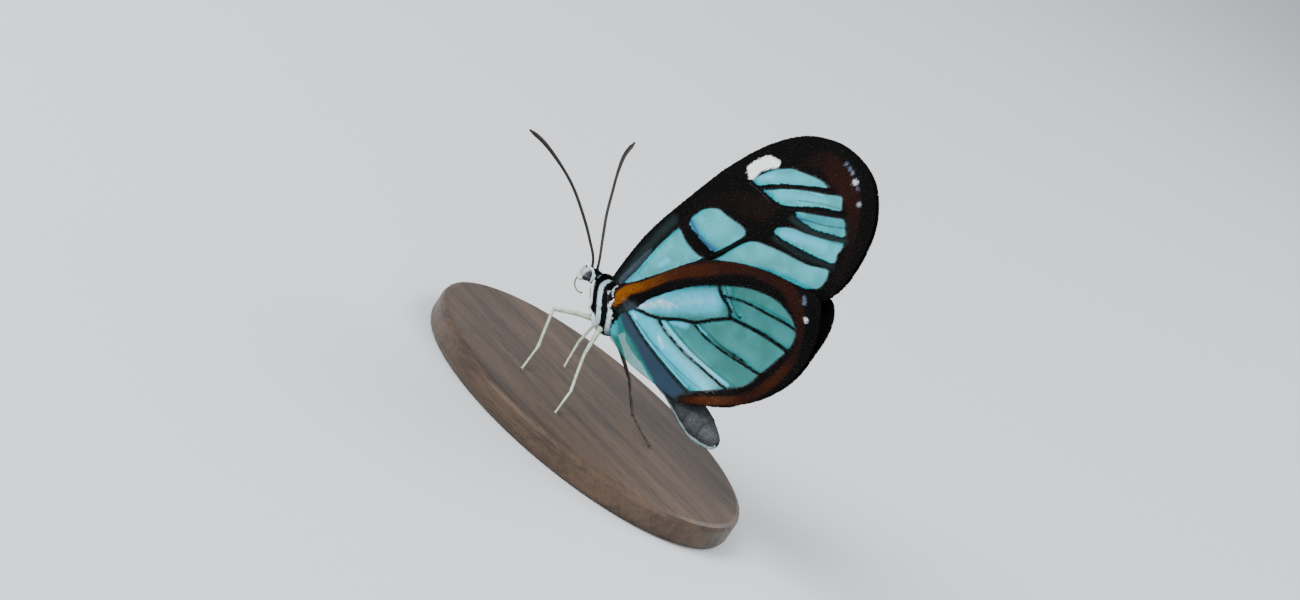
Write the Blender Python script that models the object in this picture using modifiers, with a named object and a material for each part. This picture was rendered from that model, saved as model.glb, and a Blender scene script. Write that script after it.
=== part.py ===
"""A glasswing butterfly, life size, standing on a flat oval stand with its wings closed over its back.

The head points along -X, the butterfly's left side faces -Y and +Z is up. Places on the animal are in
millimetres from the wing roots, the point between the four wing bases on the body's middle plane.
"""
import math

import bmesh
import bpy
import numpy as np
from mathutils import Vector
from mathutils.geometry import delaunay_2d_cdt

NAME = "glasswing_butterfly"
MM = 0.001

# Clearances, all in millimetres from here on
GAP = 0.3
STAND_LENGTH = 34.0
STAND_WIDTH = 24.0
STAND_HEIGHT = 2.5
STAND_BEVEL = 0.5
STAND_SIDES = 64
FOOT_DEPTH = 7.5
ROOT_AHEAD = 3.8
ROOT_HEIGHT = STAND_HEIGHT + GAP + FOOT_DEPTH

# The trunk: distance back, height, half depth and half width of each cross-section
THORAX = [(-2.35, 0.5, 0.45, 0.4), (-2.1, 0.45, 0.8, 0.8), (-1.4, 0.2, 1.2, 1.35),
          (-0.4, -0.25, 1.65, 1.65), (0.8, -0.8, 1.95, 1.65), (1.6, -0.85, 1.6, 1.35),
          (2.1, -0.75, 0.95, 0.8), (2.3, -0.7, 0.5, 0.45)]
ABDOMEN = [(1.4, -0.5, 0.5, 0.45), (3.4, -0.85, 0.55, 0.48), (5.1, -1.25, 0.65, 0.55),
           (7.4, -1.65, 0.92, 0.75), (9.9, -1.88, 1.05, 0.9), (11.9, -2.2, 1.3, 1.05),
           (13.5, -2.55, 1.4, 1.12), (15.1, -2.75, 1.0, 0.85), (16.1, -2.85, 0.4, 0.35)]
HEAD = [(-3.55, 0.3, 0.25, 0.2), (-3.43, 0.3, 0.5, 0.36), (-3.15, 0.34, 0.7, 0.46), (-2.7, 0.4, 0.75, 0.48),
        (-2.2, 0.42, 0.6, 0.48), (-1.9, 0.42, 0.45, 0.45)]
TRUNK_STEP = 0.5
TRUNK_SIDES = 20
ABDOMEN_SEGMENTS = 9
SEGMENT_GROOVE = 0.08

# The head's parts
EYE_CENTRE = (-3.1, -0.65, 0.38)
EYE_RADII = (0.52, 0.52, 0.62)
ANTENNA_ROOT = [(-3.1, -0.42, 0.6), (-3.35, -0.42, 1.35), (-4.67, -0.95, 2.95), (-6.24, -1.79, 4.55),
                (-7.76, -2.94, 6.06), (-9.33, -4.38, 7.27)]
ANTENNA_TIPS = {"left": [(-10.86, -6.07, 8.22), (-11.6, -7.06, 8.5)],
                "right": [(-10.8, -6.1, 8.4), (-11.6, -7.6, 9.2)]}
ANTENNA_RADIUS = 0.25
ANTENNA_CLUB = 0.34
PALP = [(-3.4, -0.5, -0.2), (-3.7, -0.55, -0.52), (-4.08, -0.55, -0.25), (-4.12, -0.55, 0.35)]
PALP_RADIUS = 0.27
PROBOSCIS = [(-2.9, 0.0, -0.2), (-3.0, 0.0, -0.95), (-3.4, 0.0, -1.25), (-3.85, 0.0, -1.3),
             (-4.0, 0.0, -1.65), (-3.6, 0.0, -1.85), (-3.2, 0.0, -1.75)]
PROBOSCIS_RADIUS = 0.25

# Legs: hip, knee, ankle and claw. Each foreleg is small and folded against the thorax.
LEGS = {
    "midleg_left": [(0.2, -0.6, -1.95), (-1.9, -4.0, -2.75), (-0.9, -4.35, -6.0), (-0.05, -5.95, -7.25)],
    "hindleg_left": [(1.0, -0.7, -2.0), (3.4, -4.5, -3.45), (5.2, -6.0, -6.1), (6.05, -7.6, -7.25)],
    "midleg_right": [(0.2, 0.6, -1.95), (-2.1, 3.5, -3.2), (-1.75, 2.1, -5.7), (-0.85, 0.85, -7.25)],
    "hindleg_right": [(1.0, 0.7, -2.0), (4.0, 3.0, -5.2), (6.9, 1.9, -6.9), (10.1, 1.6, -7.25)],
}
FORELEG = [(-1.7, -1.1, 0.55), (-1.35, -1.75, 0.3), (-0.8, -1.95, -0.5), (-0.25, -1.95, -1.25)]
HIP_RADIUS = 0.42
FEMUR_RADIUS = 0.3
TIBIA_RADIUS = 0.28
TARSUS_RADIUS = 0.27

# Wings: outlines and veins seen from the side, distance back and height
WING_THICKNESS = 0.52
VEIN_RIDGE = 0.22
VEIN_HALF_WIDTH = 0.4
WING_REST = 0.17
ROOT_SPREAD = 0.25
ROOT_EASE = 2.0
HINDWING_LIFT = WING_THICKNESS + GAP + 0.1
LIFT_EASE = 4.0
WRAP_EASE = 3.2
WRAP_CLEAR = 0.4
OUTLINE_STEP = 1.0
VEIN_STEP = 1.1
PANE_STEP = 2.0
FOREWING_EDGE = [(-1.0, 0.3), (-1.0, 3.0), (-0.7, 6.0), (0.9, 11.6), (2.7, 16.3), (4.7, 19.7), (7.3, 22.3),
                 (10.8, 23.5), (14.4, 22.8), (16.6, 20.4), (17.5, 17.0), (17.4, 14.2), (16.8, 12.5)]
FOREWING_INNER = [(16.8, 12.5), (9.0, 9.2), (4.6, 5.4), (1.6, 2.4), (0.9, 0.3)]
HINDWING_EDGE = [(0.6, 0.3), (0.7, 1.7), (2.9, 4.8), (5.9, 8.5), (9.4, 10.7), (13.7, 12.2), (17.1, 12.6),
                 (18.3, 10.8), (18.7, 8.6), (18.6, 6.2), (17.6, 3.6), (15.5, 0.9), (13.8, -0.6),
                 (11.8, -1.8), (8.6, -2.3), (4.8, -2.6), (2.6, -2.2)]
HINDWING_INNER = [(2.6, -2.2), (1.6, -1.0), (0.6, 0.3)]
FOREWING_VEINS = [
    [(-0.1, 1.4), (0.7, 6.0), (2.2, 11.5), (4.9, 16.0), (8.0, 20.2), (12.0, 22.7)],
    [(4.9, 16.0), (7.8, 15.9), (8.8, 15.4), (8.7, 14.0), (7.9, 12.5), (6.9, 10.7), (5.9, 9.1)],
    [(4.9, 16.0), (7.8, 17.6), (11.6, 19.8), (14.8, 21.5)],
    [(7.8, 15.9), (10.6, 17.3), (14.1, 19.2), (16.2, 20.1)],
    [(8.8, 15.4), (12.2, 16.7), (15.6, 17.8), (16.9, 18.0)],
    [(7.9, 12.5), (10.5, 13.7), (13.2, 14.5), (17.0, 15.3)],
]
HINDWING_VEINS = [
    [(1.6, 1.3), (2.9, 2.7), (5.2, 5.3), (8.3, 7.9), (11.0, 9.6), (14.0, 10.5), (17.6, 10.7)],
    [(1.6, 1.3), (3.2, 1.2), (4.9, 2.0), (7.9, 3.7), (9.3, 5.0), (10.6, 6.2), (10.0, 7.0), (9.3, 7.5),
     (8.3, 7.9)],
    [(9.3, 7.5), (11.2, 8.2), (13.6, 8.8), (18.2, 9.0)],
    [(10.6, 6.2), (13.7, 7.0), (16.8, 7.3), (18.4, 7.2)],
    [(7.9, 3.7), (9.4, 3.4), (11.5, 3.7), (14.0, 4.0), (17.5, 4.5)],
    [(4.9, 2.0), (6.4, 1.5), (8.4, 1.2), (11.2, 1.2), (15.2, 1.7)],
    [(3.2, 1.2), (4.2, 0.2), (5.8, -0.4), (8.6, -0.8), (12.6, -0.6)],
]

# Colours as linear red, green and blue, then roughness
COLOURS = {
    "thorax_scales": ((0.012, 0.011, 0.012), 0.75),
    "abdomen_scales": ((0.07, 0.06, 0.055), 0.7),
    "head_scales": ((0.02, 0.018, 0.018), 0.75),
    "eye": ((0.02, 0.022, 0.025), 0.15),
    "antenna": ((0.01, 0.009, 0.008), 0.5),
    "palp_scales": ((0.6, 0.62, 0.58), 0.7),
    "proboscis": ((0.12, 0.13, 0.06), 0.4),
    "leg": ((0.5, 0.55, 0.4), 0.6),
    "leg_dark": ((0.05, 0.04, 0.03), 0.6),
    "wing_membrane": ((0.35, 0.6, 0.62), 0.25),
    "wing_scales": ((0.03, 0.012, 0.006), 0.65),
    "stand": ((0.045, 0.032, 0.025), 0.45),
}


def clear_scene():
    for thing in list(bpy.data.objects):
        bpy.data.objects.remove(thing, do_unlink=True)


def new_collection(name):
    collection = bpy.data.collections.new(name)
    bpy.context.scene.collection.children.link(collection)
    return collection


def make_materials():
    made = {}
    for name, (colour, roughness) in COLOURS.items():
        material = bpy.data.materials.new(name)
        material.use_nodes = True
        shader = material.node_tree.nodes["Principled BSDF"]
        shader.inputs["Base Color"].default_value = (*colour, 1.0)
        shader.inputs["Roughness"].default_value = roughness
        shader.inputs["Metallic"].default_value = 0.0
        material.diffuse_color = (*colour, 1.0)
        made[name] = material
    return made


def to_world(point):
    """A place in millimetres from the wing roots, as metres in the part's own frame."""
    x, y, z = point
    return Vector((x - ROOT_AHEAD, y, z + ROOT_HEIGHT)) * MM


def mirrored(points):
    return [(x, -y, z) for x, y, z in points]


def smooth(points, step):
    """Points along a smooth curve through all the given ones, each of which is kept, about a step apart."""
    given = np.array(points, float)
    run = np.concatenate([[0.0], np.cumsum(np.linalg.norm(np.diff(given, axis=0), axis=1))])
    slope = np.gradient(given, run, axis=0)
    found = []
    for i, length in enumerate(np.diff(run)):
        pieces = max(1, round(length / step))
        for t in np.arange(pieces) / pieces:
            found.append(given[i] * (1 + 2 * t) * (1 - t) ** 2 + given[i + 1] * t * t * (3 - 2 * t)
                         + length * (slope[i] * t * (1 - t) ** 2 - slope[i + 1] * t * t * (1 - t)))
    found.append(given[-1])
    return np.array(found)


def new_object(name, bm, material, collection):
    mesh = bpy.data.meshes.new(name)
    bm.to_mesh(mesh)
    bm.free()
    mesh.shade_smooth()
    mesh.set_sharp_from_angle(angle=math.radians(40))
    thing = bpy.data.objects.new(name, mesh)
    if material:
        mesh.materials.append(material)
    collection.objects.link(thing)
    return thing


def as_cutter(thing):
    thing.hide_render = True
    thing.display_type = "WIRE"
    return thing


def cut(thing, *cutters):
    """Trims a piece to the grown shapes of what it grows from, which leaves the gap between them."""
    for cutter in cutters:
        trim = thing.modifiers.new("clear of " + cutter.name, "BOOLEAN")
        trim.operation = "DIFFERENCE"
        trim.solver = "EXACT"
        trim.object = cutter


def trunk(name, stations, material, collection, grow=0.0, groove=None):
    """A closed body of elliptical cross-sections, grown square to its surface for a cutter."""
    path = smooth(stations, TRUNK_STEP)
    run, rise = np.gradient(path[:, 0]), np.gradient(path[:, 2:].mean(axis=1))
    slant = np.hypot(run, rise)
    ends = path[0, 0] - grow, path[-1, 0] + grow
    path[:, 0] -= grow * rise / slant
    path[:, 2:] += grow * (run / slant)[:, None]
    path[0, 0], path[-1, 0] = ends
    bm = bmesh.new()
    rings = []
    for x, z, depth, width in path:
        scale = 1.0 - groove(x) if groove else 1.0
        turns = np.arange(TRUNK_SIDES) * math.tau / TRUNK_SIDES
        across, upward = width * scale * np.cos(turns), z + depth * scale * np.sin(turns)
        rings.append([bm.verts.new(to_world((x, y, height))) for y, height in zip(across, upward)])
    for low, high in zip(rings, rings[1:]):
        for i in range(TRUNK_SIDES):
            j = (i + 1) % TRUNK_SIDES
            bm.faces.new((low[i], high[i], high[j], low[j]))
    bm.faces.new(rings[0])
    bm.faces.new(rings[-1][::-1])
    bmesh.ops.recalc_face_normals(bm, faces=bm.faces)
    return new_object(name, bm, material, collection)


def segment_groove(x):
    """How much the abdomen narrows at x, deepest at the joint between two segments."""
    first, last = ABDOMEN[0][0], ABDOMEN[-1][0]
    along = (x - first) / (last - first) * ABDOMEN_SEGMENTS
    return SEGMENT_GROOVE * (1.0 - min(1.0, 4.0 * abs(along - round(along))))


def ball(name, centre, radii, material, collection, grow=0.0):
    bm = bmesh.new()
    bmesh.ops.create_uvsphere(bm, u_segments=24, v_segments=14, radius=1.0)
    bmesh.ops.scale(bm, vec=[(r + grow) * MM for r in radii], verts=bm.verts)
    bmesh.ops.translate(bm, vec=to_world(centre), verts=bm.verts)
    return new_object(name, bm, material, collection)


def rod(name, points, radii, material, collection, step=0.6, grow=0.0):
    """A round rod along a smooth path, its radius easing between the given ones, as a welded mesh."""
    path = smooth(points, step)
    path[0] -= grow * (path[1] - path[0]) / np.linalg.norm(path[1] - path[0])
    path[-1] += grow * (path[-1] - path[-2]) / np.linalg.norm(path[-1] - path[-2])
    sizes = np.interp(np.linspace(0.0, 1.0, len(path)), np.linspace(0.0, 1.0, len(radii)), radii) + grow
    curve = bpy.data.curves.new(name, "CURVE")
    curve.dimensions = "3D"
    curve.bevel_depth = MM
    curve.bevel_resolution = 2
    curve.use_fill_caps = True
    spline = curve.splines.new("POLY")
    spline.points.add(len(path) - 1)
    for knot, place, size in zip(spline.points, path, sizes):
        knot.co = (*to_world(place), 1.0)
        knot.radius = size
    guide = bpy.data.objects.new(name + "_guide", curve)
    collection.objects.link(guide)
    bpy.context.view_layer.update()
    made = bpy.data.meshes.new_from_object(guide.evaluated_get(bpy.context.evaluated_depsgraph_get()))
    bm = bmesh.new()
    bm.from_mesh(made)
    bmesh.ops.remove_doubles(bm, verts=bm.verts, dist=0.001 * MM)
    bpy.data.objects.remove(guide, do_unlink=True)
    bpy.data.meshes.remove(made)
    return new_object(name, bm, material, collection)


def away_from(points, lines):
    """Each point's distance from the nearest of some lines, each a row of points."""
    nearest = np.full(len(points), np.inf)
    for line in lines:
        for start, end in zip(line[:-1], line[1:]):
            run = end - start
            t = np.clip((points - start) @ run / (run @ run), 0.0, 1.0)
            nearest = np.minimum(nearest, np.linalg.norm(points - start - t[:, None] * run, axis=1))
    return nearest


def inside(points, loop):
    """Whether each point lies inside a closed loop, from how often a ray crosses it."""
    crossed = np.zeros(len(points), bool)
    for (x0, z0), (x1, z1) in zip(loop, np.roll(loop, -1, axis=0)):
        level = (z0 > points[:, 1]) != (z1 > points[:, 1])
        with np.errstate(divide="ignore", invalid="ignore"):
            crossed ^= level & (points[:, 0] < (x1 - x0) * (points[:, 1] - z0) / (z1 - z0) + x0)
    return crossed


def thinned(points, apart):
    kept = []
    for point in points:
        if not kept or np.min(np.linalg.norm(np.array(kept) - point, axis=1)) > apart:
            kept.append(point)
    return np.array(kept).reshape(-1, 2)


def wing_points(loop, veins):
    """Points beside each vein, where its ridge meets the membrane, and a lattice over the panes."""
    beside = []
    for line in veins:
        run = np.gradient(line, axis=0)
        normal = np.stack([-run[:, 1], run[:, 0]], axis=1) / np.linalg.norm(run, axis=1)[:, None]
        beside += [line + normal * VEIN_HALF_WIDTH, line - normal * VEIN_HALF_WIDTH]
    beside = np.concatenate(beside)
    beside = beside[(away_from(beside, veins) > 0.9 * VEIN_HALF_WIDTH) & inside(beside, loop)]
    rim = [np.vstack([loop, loop[:1]])]
    beside = thinned(beside[away_from(beside, rim) > VEIN_HALF_WIDTH], VEIN_HALF_WIDTH)
    low, high = loop.min(axis=0), loop.max(axis=0)
    lattice = np.array([(x + 0.5 * PANE_STEP * (row % 2), z)
                        for row, z in enumerate(np.arange(low[1], high[1], 0.87 * PANE_STEP))
                        for x in np.arange(low[0], high[0], PANE_STEP)])
    lattice = lattice[inside(lattice, loop) & (away_from(lattice, rim + list(veins)) > 0.5 * PANE_STEP)]
    apart = np.linalg.norm(lattice[:, None] - beside[None], axis=2).min(axis=1)
    return np.vstack([beside, lattice[apart > 0.4 * PANE_STEP]])


def eased(amount):
    t = min(1.0, max(0.0, amount))
    return t * t * (3.0 - 2.0 * t)


def forewing_side(x, z):
    """How far the forewing's inner face lies from the middle plane: flat, and further out at its root."""
    return WING_REST + ROOT_SPREAD * math.exp(-math.hypot(x, z) / ROOT_EASE)


def hindwing_side(x, z):
    """How far the hindwing's inner face lies out, over the forewing in front and round the abdomen below."""
    inner = smooth(FOREWING_INNER, OUTLINE_STEP)
    line = inner[inner[:, 0].argsort()]
    below = (np.interp(x, line[:, 0], line[:, 1]) - z) * math.cos(math.radians(35))
    lift = HINDWING_LIFT * eased(1.0 - below / LIFT_EASE)
    stations = np.array(ABDOMEN)
    width = np.interp(x, stations[:, 0], stations[:, 3])
    top = np.interp(x, stations[:, 0], stations[:, 1] + stations[:, 2])
    wrapped = width + GAP + 0.1 - WING_REST
    wrap = wrapped * eased(1.0 - (z - top - WRAP_CLEAR) / WRAP_EASE)
    return forewing_side(x, z) + (lift ** 4 + max(0.0, wrap) ** 4) ** 0.25


def wing(name, edge, inner, veins, side_of, side, materials, collection):
    """A thin plate, triangulated alike on both faces, with its veins raised in its own surface."""
    loop = np.vstack([smooth(edge, OUTLINE_STEP)[:-1], smooth(inner, OUTLINE_STEP)[:-1]])
    lines = [smooth(vein, VEIN_STEP) for vein in veins]
    places = [tuple(p) for p in loop]
    links = []
    for line in lines:
        indices = []
        for point in line:
            near = [i for i, p in enumerate(places) if math.dist(p, point) < 0.05]
            indices.append(near[0] if near else len(places))
            if not near:
                places.append(tuple(point))
        links += list(zip(indices, indices[1:]))
    on_veins = {i for link in links for i in link}
    places += [tuple(p) for p in wing_points(loop, lines)]
    flat, _, faces, origins, _, _ = delaunay_2d_cdt(
        [Vector(p) for p in places], links, [list(range(len(loop)))], 1, 1e-4)
    bm = bmesh.new()
    verts = [bm.verts.new(to_world((x, side * side_of(x, z), z))) for x, z in flat]
    raised = {i for i, origin in enumerate(origins) if on_veins & set(origin)}
    rim = {i for i, origin in enumerate(origins) if min(origin, default=len(loop)) < len(loop)}
    for face in faces:
        made = bm.faces.new([verts[i] for i in (face if side < 0 else reversed(face))])
        made.material_index = int(not (raised | rim).isdisjoint(face))
    plate = new_object(name, bm, materials["wing_membrane"], collection)
    plate.data.materials.append(materials["wing_scales"])
    plate.vertex_groups.new(name="veins").add(list(raised), 1.0, "REPLACE")
    shell = plate.modifiers.new("thickness", "SOLIDIFY")
    shell.thickness = (WING_THICKNESS + VEIN_RIDGE) * MM
    shell.offset = 1.0
    shell.vertex_group = "veins"
    shell.thickness_vertex_group = WING_THICKNESS / (WING_THICKNESS + VEIN_RIDGE)
    return plate


def build_stand(materials, parts, cutters):
    """A flat oval plate with a softened rim, and the grown slab that flattens the feet above it."""
    bm = bmesh.new()
    bmesh.ops.create_cone(bm, cap_ends=True, segments=STAND_SIDES, radius1=0.5, radius2=0.5, depth=1.0)
    bmesh.ops.scale(bm, vec=(STAND_LENGTH * MM, STAND_WIDTH * MM, STAND_HEIGHT * MM), verts=bm.verts)
    bmesh.ops.translate(bm, vec=(0.0, 0.0, STAND_HEIGHT * MM / 2), verts=bm.verts)
    stand = new_object("stand_base", bm, materials["stand"], parts)
    rim = stand.modifiers.new("softened rim", "BEVEL")
    rim.width = STAND_BEVEL * MM
    rim.segments = 2
    rim.limit_method = "ANGLE"
    rim.angle_limit = math.radians(60)
    bm = bmesh.new()
    bmesh.ops.create_cube(bm, size=1.0)
    bmesh.ops.scale(bm, vec=(STAND_LENGTH * MM, STAND_WIDTH * MM, (STAND_HEIGHT + GAP) * MM), verts=bm.verts)
    bmesh.ops.translate(bm, vec=(0.0, 0.0, (STAND_HEIGHT + GAP) * MM / 2), verts=bm.verts)
    return as_cutter(new_object("above_stand", bm, None, cutters))


def build_head(materials, parts, cutters, thorax_grown):
    head = trunk("head", HEAD, materials["head_scales"], parts)
    cut(head, thorax_grown)
    grown = as_cutter(trunk("head_grown", HEAD, None, cutters, grow=GAP))
    for side, turned in (("left", list), ("right", mirrored)):
        eye = ball("eye_" + side, turned([EYE_CENTRE])[0], EYE_RADII, materials["eye"], parts)
        antenna = rod("antenna_" + side, turned(ANTENNA_ROOT + ANTENNA_TIPS[side]),
                      [ANTENNA_RADIUS, ANTENNA_RADIUS, ANTENNA_RADIUS, ANTENNA_CLUB, 0.8 * ANTENNA_CLUB],
                      materials["antenna"], parts)
        palp = rod("palp_" + side, turned(PALP), [PALP_RADIUS, PALP_RADIUS, 0.6 * PALP_RADIUS],
                   materials["palp_scales"], parts, step=0.4)
        eye_grown = as_cutter(
            ball("eye_grown_" + side, turned([EYE_CENTRE])[0], EYE_RADII, None, cutters, grow=GAP))
        cut(eye, grown, thorax_grown)
        cut(antenna, grown, eye_grown)
        cut(palp, grown, eye_grown)
    proboscis = rod("proboscis", PROBOSCIS, [PROBOSCIS_RADIUS], materials["proboscis"], parts, step=0.35)
    cut(proboscis, grown, thorax_grown)


def build_legs(materials, parts, cutters, thorax_grown, above_stand):
    for name, (hip, knee, ankle, claw) in LEGS.items():
        material = materials["leg_dark" if name == "hindleg_right" else "leg"]
        thigh = [HIP_RADIUS, FEMUR_RADIUS, FEMUR_RADIUS]
        femur = rod(name + "_femur", [hip, knee], thigh, material, parts, step=0.8)
        tibia = rod(name + "_tibia", [knee, ankle], [TIBIA_RADIUS], material, parts, step=1.5)
        tarsus = rod(name + "_tarsus", [ankle, claw], [TARSUS_RADIUS], material, parts, step=1.0)
        femur_grown = as_cutter(rod(name + "_femur_grown", [hip, knee], thigh, None, cutters, 0.8, GAP))
        tibia_grown = as_cutter(
            rod(name + "_tibia_grown", [knee, ankle], [TIBIA_RADIUS], None, cutters, 1.5, GAP))
        cut(femur, thorax_grown)
        cut(tibia, femur_grown)
        cut(tarsus, tibia_grown, above_stand)
    for side, turned in (("left", list), ("right", mirrored)):
        foreleg = rod("foreleg_" + side, turned(FORELEG), [FEMUR_RADIUS, TARSUS_RADIUS],
                      materials["leg"], parts, step=0.5)
        cut(foreleg, thorax_grown)


def build_wings(materials, parts, thorax_grown):
    for side, sign in (("left", -1.0), ("right", 1.0)):
        forewing = wing("forewing_" + side, FOREWING_EDGE, FOREWING_INNER, FOREWING_VEINS,
                        forewing_side, sign, materials, parts)
        hindwing = wing("hindwing_" + side, HINDWING_EDGE, HINDWING_INNER, HINDWING_VEINS,
                        hindwing_side, sign, materials, parts)
        cut(forewing, thorax_grown)
        cut(hindwing, thorax_grown)


def main():
    clear_scene()
    parts = new_collection(NAME)
    cutters = new_collection("cutters")
    materials = make_materials()
    above_stand = build_stand(materials, parts, cutters)
    trunk("thorax", THORAX, materials["thorax_scales"], parts)
    thorax_grown = as_cutter(trunk("thorax_grown", THORAX, None, cutters, grow=GAP))
    abdomen = trunk("abdomen", ABDOMEN, materials["abdomen_scales"], parts, groove=segment_groove)
    cut(abdomen, thorax_grown)
    build_head(materials, parts, cutters, thorax_grown)
    build_legs(materials, parts, cutters, thorax_grown, above_stand)
    build_wings(materials, parts, thorax_grown)


main()
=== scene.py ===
"""The finish of a glasswing butterfly that rests on a flat oval stand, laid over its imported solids.

Places on the animal are in millimetres from the wing roots, with -X towards the head, -Y the animal's
left and +Z up, as in the solids. Each piece is put into the part's own frame, in metres, as it is made.
"""
import math

import bpy
import numpy as np
from mathutils import Matrix, Vector


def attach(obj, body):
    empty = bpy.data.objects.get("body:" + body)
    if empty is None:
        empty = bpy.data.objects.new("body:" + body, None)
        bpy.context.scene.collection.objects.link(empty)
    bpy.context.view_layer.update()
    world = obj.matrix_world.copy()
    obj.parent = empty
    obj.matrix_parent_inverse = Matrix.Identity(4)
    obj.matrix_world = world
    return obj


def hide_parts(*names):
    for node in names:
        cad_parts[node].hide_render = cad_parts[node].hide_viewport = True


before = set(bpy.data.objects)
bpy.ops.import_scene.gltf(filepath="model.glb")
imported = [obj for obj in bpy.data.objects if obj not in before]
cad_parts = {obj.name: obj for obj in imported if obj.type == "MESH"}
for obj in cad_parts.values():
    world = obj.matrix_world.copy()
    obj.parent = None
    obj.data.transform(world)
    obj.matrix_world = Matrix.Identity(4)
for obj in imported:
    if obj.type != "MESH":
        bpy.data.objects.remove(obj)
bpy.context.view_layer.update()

MM = 0.001
ROOT = np.array([-3.8, 0.0, 10.3])
SIDES = (("left", -1.0), ("right", 1.0))
SEED = 7

# The camera: its turn, height and roll in degrees, its lens, and how far it stands off
AZIMUTH, ELEVATION, ROLL = 30.7, 17.3, 33.7
LENS = 85.0
DISTANCE = 260.1
SIDESTEP = 3.22

# The body's skin: distance back, height, half depth and half width, from the face to the abdomen's tip
BODY = [(-3.54, 0.3, 0.08, 0.06), (-3.48, 0.3, 0.32, 0.24), (-3.3, 0.32, 0.5, 0.4), (-3.1, 0.34, 0.55, 0.46),
        (-2.7, 0.36, 0.56, 0.48), (-2.45, 0.41, 0.52, 0.47), (-2.3, 0.43, 0.47, 0.45), (-2.14, 0.44, 0.62, 0.62),
        (-1.4, 0.2, 1.12, 1.25), (-0.4, -0.25, 1.57, 1.56), (0.8, -0.8, 1.86, 1.56), (1.6, -0.85, 1.52, 1.26),
        (2.1, -0.75, 0.88, 0.74), (2.4, -0.72, 0.52, 0.46), (3.4, -0.85, 0.49, 0.42), (5.1, -1.25, 0.6, 0.5),
        (7.4, -1.65, 0.86, 0.7), (9.9, -1.88, 0.99, 0.84), (11.9, -2.2, 1.23, 0.98), (13.5, -2.55, 1.32, 1.04),
        (15.1, -2.75, 0.92, 0.77), (15.95, -2.84, 0.42, 0.36), (16.08, -2.85, 0.12, 0.1)]
ABDOMEN_FRONT, ABDOMEN_TIP, ABDOMEN_SEGMENTS = 2.4, 16.1, 8

# White stripes on the thorax and head: half width, then a line of distance back and height
STRIPES = [
    (0.19, [(-1.04, 1.12), (-0.93, 0.8), (-0.51, 0.33), (0.06, -0.3), (0.49, -0.93), (0.7, -2.3)]),
    (0.09, [(-0.16, 0.82), (0.17, 0.64), (0.5, 0.36)]),
    (0.165, [(0.86, 0.5), (1.0, -0.05), (1.36, -0.84), (1.48, -1.9), (1.43, -2.4)]),
    (0.13, [(-2.1, 1.1), (-1.92, 0.92)]),
    (0.1, [(-1.55, 0.45), (-1.35, 0.15)]),
    (0.12, [(-3.3, 0.95), (-2.94, 0.95), (-2.62, 0.6), (-2.54, 0.28), (-2.54, -0.1)]),
]

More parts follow.
